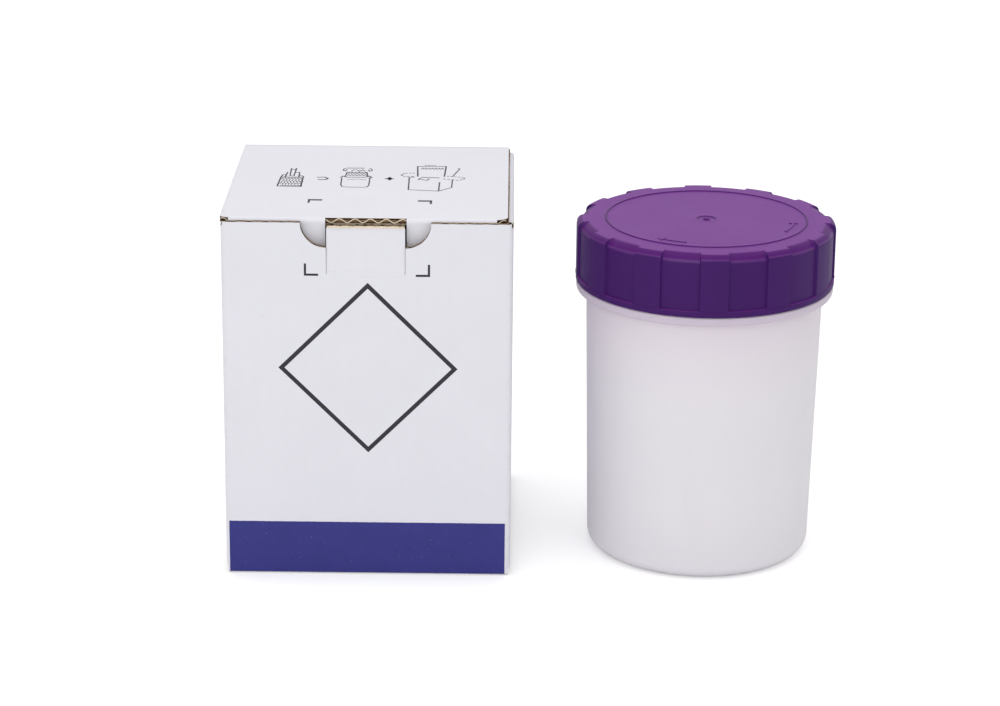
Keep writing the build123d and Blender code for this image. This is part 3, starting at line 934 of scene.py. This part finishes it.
class PACK_OT_lid_edges(bpy.types.Operator):
    """Fringe the lid's cut side edges with brown fibres that the knife left; the dark fringe also stands
    in for the shade of the gap beside them
    """

    bl_idname = "pack.lid_edges"
    bl_label = "Lid edges"

    def execute(self, context):
        low, high = LID_TOP - 2.3 * MM, LID_TOP - 0.3 * MM
        first, last, steps = BACK_Y - 3 * MM, LID_FRONT_Y + 5 * MM, 130
        for name, side, back_x, front_x, reach in (
                ("right", 1, LID_RIGHT_X, LID_RIGHT_X, 0.6),
                ("left", -1, LID_LEFT_X, FRAME_BOX[0].x, 0.14)):
            sections = []
            for index in range(steps + 1):
                y = first + (last - first) * index / steps
                edge = back_x + (front_x - back_x) * (BACK_Y - y) / (BACK_Y - LID_FRONT_Y)
                furry = 0.5 + 0.3 * sin(y * 1700.0) + 0.2 * sin(y * 4300.0)
                tip = max(edge + side * reach * furry * MM, FRAME_BOX[0].x + 0.01 * MM)
                inner = edge - side * 0.2 * MM
                sections.append([
                    (inner, y, low), (tip, y, low + 0.2 * MM),
                    (tip, y, high - 0.2 * MM), (inner, y, high)])
            ribbon("lid_fibres_" + name, sections, ["cut_paper_edge"], "lid")
        return {"FINISHED"}


# ---------------------------------------------------------------- creases
def fold_section(corner, first_way, second_way, radius, lap=0.9 * MM):
    """A fold's outer paper seen end on: up one panel, round its half of the bend, and along the other.

    corner is the sharp outer edge, and each way is a panel's direction away from it.
    """
    ways = Vector(first_way), Vector(second_way)
    lean = tan(ways[0].angle(ways[1]) / 2)
    reach = atan2(1, lean) + asin((lean - 1) / hypot(1, lean))
    halves = []
    for way, other in (ways, ways[::-1]):
        inward = (other - way * way.dot(other)).normalized()
        centre = corner + (way + inward) * radius
        half = [corner + way * (radius + lap)]
        turns = [reach * i / 5 for i in range(6)]
        half += [centre - (inward * cos(turn) + way * sin(turn)) * radius for turn in turns]
        halves.append(half)
    return halves[0] + halves[1][-2::-1]


def crease_strip(context, name, section, outward, run, ends, bodies, across):
    """The outer paper bridging a crease: it lies in the fold at rest.

    section holds its outer points from the first panel to the second, run is the crease's direction,
    ends are the places along run where it starts and stops, and bodies is not used.
    """
    board = context.scene.pack_board
    run, outward = Vector(run), Vector(outward)
    lift, paper = 0.03 * MM, 0.8 * board.liner
    outer, inner = [], []
    for index, point in enumerate(section):
        before = section[max(index - 1, 0)]
        after = section[min(index + 1, len(section) - 1)]
        side = (after - before).normalized().cross(run).normalized()
        if side.dot(outward) < 0:
            side = -side
        outer.append(point + side * lift)
        inner.append(point - side * paper)
    count = len(section)
    row = 2 * count
    low, high = ends
    cells = max(2, round((high - low) / (4 * MM)))
    white, edge = 0, 1
    points, faces, slots = [], [], []
    for index in range(cells + 1):
        offset = run * (low + (high - low) * index / cells)
        points += [p + offset for p in outer + inner]
    for a in range(0, cells * row, row):
        b = a + count
        for step in range(count - 1):
            faces.append([a + step, a + step + 1, a + row + step + 1, a + row + step])
            faces.append([b + step, b + row + step, b + row + step + 1, b + step + 1])
            slots += [white, edge]
        for step in (0, count - 1):
            faces.append([a + step, a + row + step, b + row + step, b + step])
            slots.append(edge)
    for a in (0, cells * row):
        for step in range(count - 1):
            faces.append([a + step, a + count + step, a + count + step + 1, a + step + 1])
            slots.append(edge)
    mesh = outward_mesh(name, points, faces, slots)
    smooth(mesh, 40.0)
    finishes = ["white_face_flutes_" + across, "cut_paper_edge"]
    piece = new_piece(name, mesh, finishes, None)
    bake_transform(piece)


class PACK_OT_creases(bpy.types.Operator):
    """Bridge the creases of the lid, the flaps and the lock tab with paper"""

    bl_idname = "pack.creases"
    bl_label = "Creases"

    def execute(self, context):
        hem = 0.05 * MM
        along_x, along_y = (1, 0, 0), (0, 1, 0)
        crease_strip(
            context, "crease_lid_back",
            fold_section(Vector((0, BACK_Y, LID_TOP)), (0, 0, -1), (0, -1, 0), LID_BEND),
            (0, 1, 1), along_x, (LID_LEFT_X + hem, LID_RIGHT_X - hem), ("carton", "lid"), "x")

        tuck_low, tuck_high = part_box("tuck_flap")
        tuck_way = (0, sin(TUCK_SLANT), -cos(TUCK_SLANT))
        tuck_fold = fold_section(Vector((0, LID_FRONT_Y, LID_TOP)), (0, 1, 0), tuck_way, LID_BEND)
        for name, ends in (
                ("left", (tuck_low.x + 3 * hem, SLOT_ENDS[0] - hem)),
                ("right", (SLOT_ENDS[1] + hem, tuck_high.x - 3 * hem))):
            crease_strip(
                context, "crease_tuck_" + name, tuck_fold,
                (0, -1, 1), along_x, ends, ("lid", "tuck"), "x")

        low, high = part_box("dust_flap_right")
        for side, name in ((-1, "left"), (1, "right")):
            crease_strip(
                context, "crease_dust_" + name,
                fold_section(Vector((side * SIDE_X, 0, high.z)), (0, 0, -1), (-side, 0, 0), WALL_BEND),
                (side, 0, 1), along_y, (low.y + hem, high.y - hem), ("carton", "dust_" + name), "y")

        foot = Vector((0, FRONT_Y, TAB_LOW.z))
        up = Vector((0, sin(TAB_LEAN), cos(TAB_LEAN)))
        tab_foot = foot + Vector((0, 1 - cos(TAB_LEAN), sin(TAB_LEAN))) * WALL_BEND
        near, lap = 0.25 * MM, 0.9 * MM
        crease_strip(
            context, "crease_lock_tab",
            [foot - Vector((0, 0, lap)), foot - Vector((0, 0, near)), (foot + tab_foot) / 2,
             tab_foot + up * near, tab_foot + up * lap],
            (0, -1, 0), along_x, (TAB_LOW.x + hem, TAB_HIGH.x - hem), ("carton", "lock"), "x")
        return {"FINISHED"}


# ---------------------------------------------------------------- print
def stroke(points, width, closed=False):
    """A flat line of even width through points, with mitred corners, as quads in the plane."""
    count = len(points)
    left, right = [], []
    for index, point in enumerate(points):
        here = Vector(point)
        before = Vector(points[index - 1]) if closed or index else None
        after = Vector(points[(index + 1) % count]) if closed or index < count - 1 else None
        first = (here - before).normalized() if before is not None else (after - here).normalized()
        last = (after - here).normalized() if after is not None else first
        bisector = (Vector((-first.y, first.x)) + Vector((-last.y, last.x))).normalized()
        reach = width / 2 / max(bisector.dot(Vector((-first.y, first.x))), 0.35)
        left.append(here + bisector * reach)
        right.append(here - bisector * reach)
    quads = []
    for index in range(count if closed else count - 1):
        following = (index + 1) % count
        quads.append([right[index], right[following], left[following], left[index]])
    return quads


def arc(centre, radius, start, end, steps):
    """Points along an arc, in degrees."""
    angles = [radians(start + (end - start) * i / steps) for i in range(steps + 1)]
    return [(centre[0] + radius * cos(a), centre[1] + radius * sin(a)) for a in angles]


def ink_piece(context, name, polygons, body):
    """Flat polygons printed on the front or the lid: a film of ink with its own small thickness."""
    printing = context.scene.pack_print
    origin, up = PRINTED_FACES[body]
    right = Vector((1, 0, 0))
    out = right.cross(up)
    points, faces = prisms(
        polygons, lambda x, y, height: origin + right * x + up * y + out * height, 0.0, printing.film)
    new_piece(name, mesh_of(name, points, faces), ["line_ink"], body)


class PACK_OT_front_print(bpy.types.Operator):
    """Print the plain diamond outline and the corner marks for a seal"""

    bl_idname = "pack.front_print"
    bl_label = "Front print"

    def execute(self, context):
        printing = context.scene.pack_print
        width = printing.diamond_line
        reach = printing.diamond - width / 2 * sqrt(2)
        tips = arc((0.25 * MM, 90.8 * MM), reach, 0, 270, 3)
        ink_piece(context, "print_diamond", stroke(tips, width, True), "carton")

        line, level = printing.mark_line, printing.lid_mark_line
        front, lid = [], []
        for side in (-1, 1):
            x, y = side * 25.0 * MM, 130.5 * MM
            front += stroke([(x, y + 4.7 * MM), (x, y), (x - side * 5.3 * MM, y)], line)
            y = -29.4 * MM
            lid += stroke([(x, y - 4.4 * MM), (x, y)], line)
            lid += stroke([(x + side * line / 2, y), (x - side * 5.4 * MM, y)], level)
        ink_piece(context, "print_seal_marks_front", front, "carton")
        ink_piece(context, "print_seal_marks_lid", lid, "lid")
        return {"FINISHED"}


def lines(bold, *strokes):
    """Lines of a drawing, each with its width, which bold scales, and its points in mm."""
    return [quad for width, points in strokes for quad in stroke(points, width * bold)]


def peaks(x, y, pitch, count, width, height, lean):
    """A row of open triangles on (x, y); lean is how far along its foot a triangle's tip stands."""
    starts = [x + pitch * index for index in range(count)]
    return [[(left, y), (left + lean, y + height), (left + width, y)] for left in starts]


def wrapped_tubes(bold):
    """Step one: tubes standing in a quilted wrap."""
    drawn = lines(
        bold,
        (0.5, [(-39.6, -9.2), (-39.0, 5.2), (-38.4, 8.6), (-36.9, 8.4)]),
        (0.5, [(-31.2, 7.8), (-29.7, 6.4), (-29.8, -9.4), (-39.6, -9.2)]),
        (0.8, [(-38.6, 4.8), (-30.4, 4.8)]),
        (0.5, [(-37.3, 5.0), (-36.7, 12.8)]),
        (0.45, [(-35.5, 19.0), (-35.4, 7.2), (-33.7, 7.2), (-33.4, 19.2)]),
        (0.5, [(-35.4, 17.2), (-33.5, 17.2)]),
        (0.45, [(-33.4, 12.6), (-31.7, 12.6), (-31.5, 5.2)]))
    for row in range(4):
        quilt = peaks(-38.9 + 0.5 * (row % 2), 1.0 - 3.4 * row, 1.3, 7, 1.3, 2.4, 0.7)
        drawn += lines(bold, *((0.28, points) for points in quilt))
    return drawn


def wrap_into_jar(bold):
    """Step two: the wrap going into the open jar."""
    drawn = lines(
        bold,
        (0.42, [(-13.4, 4.4), (-13.3, -6.2), (-12.6, -8.8), (-10.4, -9.6)]),
        (0.42, [(-10.4, -9.6), (-3.4, -9.6), (-2.1, -8.8), (-1.6, -6.0), (-1.6, 4.8)]),
        (0.55, [(-14.0, 5.0), (-13.0, 7.4), (-11.4, 5.8), (-3.6, 6.0), (-1.9, 7.8), (-0.9, 5.6),
                (-2.2, 4.4)]),
        (0.3, [(-11.0, 1.8), (-7.0, 3.0), (-3.1, 2.0)]),
        (0.42, [(-12.2, 6.6), (-11.6, 13.6), (-3.3, 13.8), (-2.5, 6.4)]),
        (0.6, [(-12.0, 20.2), (-4.6, 20.4)]),
        (0.4, [(-10.0, 15.2), (-9.0, 17.6), (-7.6, 17.6), (-6.4, 15.2), (-5.2, 17.6), (-4.0, 15.4)]))
    for side, x in ((-1, -12.3), (1, -2.4)):
        hand = ((0, 20.0), (0.9, 18.8), (1.2, 16.6), (0.2, 15.4), (-0.5, 18.0))
        drawn += lines(bold, (0.42, [(x + side * reach, y) for reach, y in hand]))
    for row in range(2):
        quilt = peaks(-11.4, 8.0 + 3.2 * row, 1.42, 6, 1.2, 2.4, 0.6)
        drawn += lines(bold, *((0.28, points) for points in quilt))
    return drawn


def jar_into_carton(bold):
    """Step three: the closed jar going into the open carton."""
    drawn = lines(
        bold,
        (0.45, [(17.2, 7.0), (14.9, 6.6), (15.1, -12.6), (27.7, -14.2), (27.8, -0.6)]),
        (0.42, [(27.7, -14.2), (33.0, -8.6), (33.1, 3.8)]),
        (0.6, [(19.8, 6.8), (27.6, 6.2)]),
        (0.42, [(33.1, 8.6), (35.9, 20.8), (35.0, 21.8)]),
        (0.5, [(18.4, 8.0), (17.9, 24.0), (30.0, 24.6), (29.6, 8.2)]),
        (0.4, [(20.8, 25.8), (25.6, 26.0)]),
        (0.45, [(18.8, 2.4), (19.4, 5.0), (20.6, 3.2), (22.4, 2.2), (23.4, 4.6)]))
    drawn += lines(bold, *((0.34, points) for points in peaks(19.4, 19.6, 1.4, 7, 1.2, 2.2, 0.7)))
    broken = (
        [(11.2, 9.9), (12.8, 13.0), (17.2, 13.4)], [(11.2, 9.9), (13.2, 7.6), (17.2, 8.0)],
        [(30.4, 9.0), (36.6, 7.6), (38.5, 5.8), (36.0, 2.6)], [(28.8, 4.8), (36.0, 2.6)])
    for points in broken:
        for start, end in zip(points, points[1:]):
            drawn += dashes(start, end, 0.5 * bold)
    return drawn


def dashes(start, end, width, pitch=1.7):
    """A broken line."""
    length = hypot(end[0] - start[0], end[1] - start[1])
    count = max(1, round(length / pitch))
    step = ((end[0] - start[0]) / count, (end[1] - start[1]) / count)
    drawn = []
    for index in range(count):
        at = (start[0] + step[0] * (index + 0.18), start[1] + step[1] * (index + 0.18))
        drawn += stroke([at, (at[0] + step[0] * 0.62, at[1] + step[1] * 0.62)], width)
    return drawn


def hollow_arrow(x, y, bold):
    """A round-nosed arrow in outline, pointing right."""
    drawn = stroke([(x - 2.5, y + 1.5), (x + 0.6, y + 2.1), (x + 2.3, y)], 0.62 * bold)
    return drawn + stroke([(x - 2.0, y - 2.0), (x + 1.3, y - 1.9), (x + 2.3, y)], 0.62 * bold)


def double_arrow(x, y):
    """A small solid arrow with a thick middle."""
    return [[(x - 2.3, y), (x - 0.1, y - 1.2), (x + 2.3, y), (x - 0.1, y + 1.2)],
            [(x - 1.2, y), (x + 0.2, y - 2.9), (x + 1.4, y), (x + 0.1, y + 2.9)]]


class PACK_OT_pictograms(bpy.types.Operator):
    """Print three plain packing drawings, with arrows between them, on the carton's lid"""

    bl_idname = "pack.pictograms"
    bl_label = "Packing drawings"

    def execute(self, context):
        bold = context.scene.pack_print.drawing_weight
        drawings = {
            "print_step_wrap": wrapped_tubes(bold),
            "print_step_jar": wrap_into_jar(bold),
            "print_step_carton": jar_into_carton(bold),
            "print_step_arrows": hollow_arrow(-21.4, 3.5, bold) + double_arrow(6.6, 4.1),
        }
        for name, polygons in drawings.items():
            metres = [[(p[0] * MM, p[1] * MM) for p in polygon] for polygon in polygons]
            ink_piece(context, name, metres, "lid")
        return {"FINISHED"}


# ---------------------------------------------------------------- jar
def on_jar(angle, radius, height):
    """A point round the jar's axis, from mm."""
    return (JAR_AXIS[0] + radius * MM * cos(angle), JAR_AXIS[1] + radius * MM * sin(angle), height * MM)


def lathe(profile_at, angles, name):
    """Turned shell; profile_at(angle) gives (radius, height) in mm, the same number each time."""
    points = [on_jar(angle, r, z) for angle in angles for r, z in profile_at(angle)]
    count = len(angles)
    rows = len(points) // count
    faces = []
    for i in range(count):
        a, b = i * rows, (i + 1) % count * rows
        faces += [[a + k, b + k, b + k + 1, a + k + 1] for k in range(rows - 1)]
    return outward_mesh(name, points, faces, weld=WELD)


def thread_ridges(root, crest, bottom, top, phase, starts=2, lead=12.0, width=2.2, tip=1.0):
    """Helical ridges, one for each start: root and crest are radii in mm, fading in and out."""
    points, faces = [], []
    turns = (top - bottom) / lead
    steps = round(96 * turns)
    sink = -0.25 if crest > root else 0.25
    for start in range(starts):
        first = len(points)
        for index in range(steps + 1):
            share = index / steps
            angle = phase + 2 * pi * start / starts + 2 * pi * turns * share
            height = bottom + lead * turns * share
            fade = min(1.0, share * 14, (1 - share) * 14)
            fade = fade * fade * (3 - 2 * fade)
            peak = root + (crest - root) * fade
            thin = 0.45 + 0.55 * fade
            half, flat = width / 2 * thin, tip / 2 * thin
            foot = root + sink
            for r, dz in ((foot, -half - 0.15), (peak, -flat), (peak, flat), (foot, half + 0.15)):
                points.append(on_jar(angle, r, height + dz))
        last = first + steps * 4
        for a in range(first, last, 4):
            for k in range(4):
                m = (k + 1) % 4
                faces.append([a + k, a + m, a + 4 + m, a + 4 + k])
        faces += [[first, first + 1, first + 2, first + 3], [last + 3, last + 2, last + 1, last]]
    return points, faces


def with_ridges(mesh, points, faces, name):
    """One mesh from a turned shell and its ridges."""
    base = len(mesh.vertices)
    joined = outward_mesh(
        name, [v.co for v in mesh.vertices] + points,
        [list(p.vertices) for p in mesh.polygons] + [[i + base for i in f] for f in faces])
    bpy.data.meshes.remove(mesh)
    return joined


class PACK_OT_jar_body(bpy.types.Operator):
    """Build the translucent jar with its rounded foot, collar, threaded neck and lip"""

    bl_idname = "pack.jar_body"
    bl_label = "Jar body"

    def execute(self, context):
        jar = context.scene.pack_jar
        foot, shoulder, collar, neck, bore = 46.9, 49.4, 53.6, 49.9, 47.8
        foot_bore, foot_round, collar_top, lip = 45.3, 6.0, 116.7, 138.0
        taper = (shoulder - foot) / collar_top
        outer = [(0, 1.4), (20, 1.4), (33.2, 1.4), (34.4, 1.1), (35.4, 0.4), (36.2, 0.05), (37.2, 0.0)]
        outer += arc((foot - foot_round + 0.13, foot_round), foot_round, -90, 0, 10)[:-1]
        outer += [(foot + taper * z, z) for z in (6.5, 20, 40, 60, 80, 100, 111.2)]
        outer += arc((49.3 + 0.8, 112.0), 0.8, 180, 90, 4)[1:]
        outer += arc((collar - 1.5, 114.3), 1.5, -90, 0, 6)
        outer += arc((collar - 0.9, collar_top - 0.9), 0.9, 0, 90, 5)
        outer += [(neck + 0.9, collar_top), (neck + 0.25, collar_top + 0.15), (neck, collar_top + 0.6)]
        outer += [(neck, z) for z in (122, 130, lip + 0.6)]
        outer += arc((neck - 0.7, lip + 0.75), 0.7, 0, 90, 4)
        outer += arc((bore + 0.6, lip + 0.85), 0.6, 90, 180, 4)
        inner = [(bore, z) for z in (lip, 130, 122, collar_top)]
        slope = (bore - foot_bore) / collar_top
        inner += [(foot_bore + slope * z, z) for z in (100, 80, 60, 40, 20, 7.0)]
        inner += arc((foot_bore - 4.4, 6.6), 4.4, 0, -90, 6)[1:]
        inner += [(30, 2.2), (15, 2.2), (0, 2.2)]
        angles = [2 * pi * i / jar.segments for i in range(jar.segments)]
        mesh = lathe(lambda angle: outer + inner, angles, "jar_shell")
        mesh = with_ridges(mesh, *thread_ridges(neck, neck + 1.05, *THREAD), "jar_shell")
        smooth(mesh, 38.0)
        piece = new_piece("jar_shell", mesh, ["natural_plastic"], "jar")
        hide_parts("jar_body")
        return {"FINISHED"}


def rib_share(angle, panels, half_width=6.35, edge=0.26):
    """1 on a grip rib, 0 on the sunk finger panels between ribs, by the angle round the lid."""
    pitch = 360.0 / panels
    off = abs((degrees(angle) - RIB_TURN + pitch / 2) % pitch - pitch / 2)
    t = max(0.0, min(1.0, (half_width + edge - off) / (2 * edge)))
    return t * t * (3 - 2 * t)


def rib_angles(panels):
    """Angles round the lid, dense at the ribs' edges."""
    pitch = 360.0 / panels
    steps = [0, 2.2, 4.4, 5.7, 6.09, 6.18, 6.27, 6.35, 6.43, 6.52, 6.61, 7.0, 8.5, 10.6, 12.8, 15.0]
    steps += [pitch - s for s in reversed(steps[1:-1])]
    return [radians(pitch * i + s + RIB_TURN) for i in range(panels) for s in steps]


def lid_side(wall, shoulder, low, top, foot, rim, bore):
    """The lid's outer profile from the skirt's edge to the roof; wall is its radius above the rim."""
    rows = [(bore, low + 0.4), (bore + 0.4, low), (rim - 0.4, low)]
    rows += arc((rim - 0.4, low + 0.4), 0.4, -90, 0, 3)[1:]
    rows += [(rim, low + 1.2), (rim, foot - 0.2), (rim - 0.03, foot - 0.1)]
    rows += [(wall + 0.2, foot), (wall + 0.05, foot + 0.08), (wall, foot + 0.3), (wall, foot + 1.5)]
    rows += [(wall, 125), (wall, 133), (wall, top - shoulder - 0.6)]
    rows += arc((wall - shoulder, top - shoulder), shoulder, 0, 90, 12)
    return rows + [(47.4, top), (46.0, top), (43.5, top)]


class PACK_OT_jar_lid(bpy.types.Operator):
    """Build the moulded screw lid: finger panels, roof ring, gate mark, arrows and inner thread"""

    bl_idname = "pack.jar_lid"
    bl_label = "Jar lid"

    def execute(self, context):
        jar = context.scene.pack_jar
        low, top, foot = 116.9, 143.0, 119.5
        rim, bore, roof, ring = 53.85, 51.5, 141.0, 41.7
        rib = lid_side(rim, 3.0, low, top, foot, rim, bore)
        panel = lid_side(52.85, 4.6, low, top, foot, rim, bore)
        bead = ((0.75, 0), (0.5, 0.06), (0.28, 0.36), (0, 0.46), (-0.28, 0.36), (-0.5, 0.06), (-0.75, 0))
        outer = [(ring + across, top + up) for across, up in bead]
        outer += [(r, top) for r in (38, 30, 20, 10)]
        gate = (
            (5.6, 0), (5.1, 0.03), (4.7, 0.11), (4.3, 0.1), (4.0, -0.02), (3.4, -0.24), (2.6, -0.42),
            (1.9, -0.46), (1.5, -0.38), (1.2, -0.1), (0.95, 0.16), (0.6, 0.28), (0, 0.32))
        outer += [(r, top + up) for r, up in gate]
        inner = [(r, roof) for r in (0, 20, 40, bore - 0.4)]
        inner += [(bore, z) for z in (roof - 0.4, 135, 125, 120, low + 0.4)]

        def profile_at(angle):
            share = rib_share(angle, jar.panels)
            side = [
                (a[0] * share + b[0] * (1 - share), a[1] * share + b[1] * (1 - share))
                for a, b in zip(rib, panel)]
            return side + outer + inner

        mesh = lathe(profile_at, rib_angles(jar.panels), "screw_lid")
        low_thread, high_thread, phase = THREAD
        ridges = thread_ridges(bore, bore - 1.05, low_thread, high_thread, phase + pi / 2)
        mesh = with_ridges(mesh, *ridges, "screw_lid")
        smooth(mesh, 32.0)
        piece = new_piece("screw_lid", mesh, ["moulded_lid"], "jar_cap")
        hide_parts("jar_lid")
        for name, start, end in (("lid_arrow_near", 254, 234), ("lid_arrow_right", 330, 354)):
            self.arrow(name, start, end, top)
        return {"FINISHED"}

    def arrow(self, name, tail, tip, top):
        """A curved arrow moulded on the roof, from tail to tip in degrees."""
        radius, width, height, half_head = 36.2, 0.9, 0.28, 1.9
        neck = tip - (4.2 if tip > tail else -4.2)
        near, far = (arc((0, 0), radius + side * half_head, neck, neck, 1)[0] for side in (-1, 1))
        point = arc((0, 0), radius, tip, tip, 1)[0]
        polygons = stroke(arc((0, 0), radius, tail, neck, 14), width)
        polygons.append([near, point, far] if tip < tail else [near, far, point])
        points, faces = prisms(
            polygons, lambda x, y, z: (JAR_AXIS[0] + x * MM, JAR_AXIS[1] + y * MM, z * MM),
            top - 0.05, top + height)
        mesh = outward_mesh(name, points, faces, weld=WELD)
        new_piece(name, mesh, ["moulded_lid"], "jar_cap")


class PACK_OT_lid_seal(bpy.types.Operator):
    """Give the sealing ring its foam finish"""

    bl_idname = "pack.lid_seal"
    bl_label = "Lid seal"

    def execute(self, context):
        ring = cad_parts["lid_seal"]
        ring.data.materials.clear()
        ring.data.materials.append(finish_named("foam_seal"))
        return {"FINISHED"}


# ---------------------------------------------------------------- stage
class PACK_OT_stage(bpy.types.Operator):
    """Set the white floor, soft lamps, sky and the camera"""

    bl_idname = "pack.stage"
    bl_label = "Stage"

    def execute(self, context):
        stage = context.scene.pack_stage
        span, drop = 3.0, -0.2 * MM
        corners = [(-span, -span, drop), (span, -span, drop), (span, span, drop), (-span, span, drop)]
        floor = new_piece("floor", mesh_of("floor", corners, [[0, 1, 2, 3]]), ["pale_floor"])
        self.sky(context, stage)
        centre = (0.05, 0.0, 0.08)
        self.lamp("overhead_softbox", (0.05, -0.15, 1.1), centre, (1.3, 1.0), stage.key)
        self.lamp("frontal_softbox", (-0.35, -1.5, 0.75), centre, (1.0, 0.8), stage.fill)
        self.camera(context, stage)
        context.scene.view_settings.view_transform = "Standard"
        return {"FINISHED"}

    def sky(self, context, stage):
        """White where it is seen, mirrored or looked through, and dimmer as a light."""
        world = bpy.data.worlds.new("studio")
        world.use_nodes = True
        tree = world.node_tree
        tree.nodes.clear()
        path = tree.nodes.new("ShaderNodeLightPath")
        seen = Sock(tree, path.outputs["Is Camera Ray"])
        seen = seen.greatest(Sock(tree, path.outputs["Is Glossy Ray"]))
        seen = seen.greatest(Sock(tree, path.outputs["Is Transmission Ray"]))
        background = tree.nodes.new("ShaderNodeBackground")
        background.inputs["Color"].default_value = (1, 1, 1, 1)
        tree.links.new((seen * (1 - stage.sky) + stage.sky).socket, background.inputs["Strength"])
        output = tree.nodes.new("ShaderNodeOutputWorld")
        tree.links.new(background.outputs[0], output.inputs[0])
        context.scene.world = world

    def camera(self, context, stage):
        lens = bpy.data.cameras.new("eye")
        lens.lens = stage.lens
        lens.sensor_width = 36.0
        lens.sensor_fit = "HORIZONTAL"
        lens.clip_start = 0.05
        lens.clip_end = 20.0
        camera = bpy.data.objects.new("eye", lens)
        context.scene.collection.objects.link(camera)
        turn = Matrix.Rotation(stage.yaw, 3, "Z")
        ahead = turn @ Vector((0, cos(stage.pitch), -sin(stage.pitch)))
        up = turn @ Vector((0, sin(stage.pitch), cos(stage.pitch)))
        right = turn @ Vector((1, 0, 0))
        c, s = cos(stage.roll), sin(stage.roll)
        axes = Matrix((c * right + s * up, -s * right + c * up, -ahead)).transposed()
        camera.matrix_world = Matrix.Translation(Vector(stage.eye)) @ axes.to_4x4()
        context.scene.camera = camera

    def lamp(self, name, place, aim, size, power):
        light = bpy.data.lights.new(name, "AREA")
        light.shape = "RECTANGLE"
        light.size, light.size_y = size
        light.energy = power
        lamp = bpy.data.objects.new(name, light)
        bpy.context.scene.collection.objects.link(lamp)
        lamp.location = place
        lamp.rotation_euler = (Vector(aim) - Vector(place)).to_track_quat("-Z", "Y").to_euler()


# ---------------------------------------------------------------- panel and registration
OPERATORS = (
    PACK_OT_stage,
    PACK_OT_walls,
    PACK_OT_base,
    PACK_OT_lid_board,
    PACK_OT_slot_edge,
    PACK_OT_corner_fold,
    PACK_OT_lid_edges,
    PACK_OT_creases,
    PACK_OT_front_print,
    PACK_OT_pictograms,
    PACK_OT_jar_body,
    PACK_OT_jar_lid,
    PACK_OT_lid_seal,
)


class PACK_PT_sidebar(bpy.types.Panel):
    bl_idname = "PACK_PT_sidebar"
    bl_label = "Specimen pack"
    bl_space_type = "VIEW_3D"
    bl_region_type = "UI"
    bl_category = "Specimen pack"

    def draw(self, context):
        layout = self.layout
        for group, kind in SETTINGS.items():
            box = layout.box()
            box.label(text=kind.__name__.replace("Settings", ""))
            for key in kind.__annotations__:
                box.prop(getattr(context.scene, group), key)
        for operator in OPERATORS:
            layout.operator(operator.bl_idname)


CLASSES = tuple(SETTINGS.values()) + OPERATORS + (PACK_PT_sidebar,)


def register():
    for cls in CLASSES:
        bpy.utils.register_class(cls)
    for group, kind in SETTINGS.items():
        setattr(bpy.types.Scene, group, PointerProperty(type=kind))


def unregister():
    for group in SETTINGS:
        delattr(bpy.types.Scene, group)
    for cls in reversed(CLASSES):
        bpy.utils.unregister_class(cls)


def main():
    register()
    bpy.ops.pack.stage()
    bpy.ops.pack.walls()
    bpy.ops.pack.base()
    bpy.ops.pack.lid_board()
    bpy.ops.pack.slot_edge()
    bpy.ops.pack.corner_fold()
    bpy.ops.pack.lid_edges()
    bpy.ops.pack.creases()
    bpy.ops.pack.front_print()
    bpy.ops.pack.pictograms()
    bpy.ops.pack.jar_body()
    bpy.ops.pack.jar_lid()
    bpy.ops.pack.lid_seal()


if __name__ == "__main__":
    main()
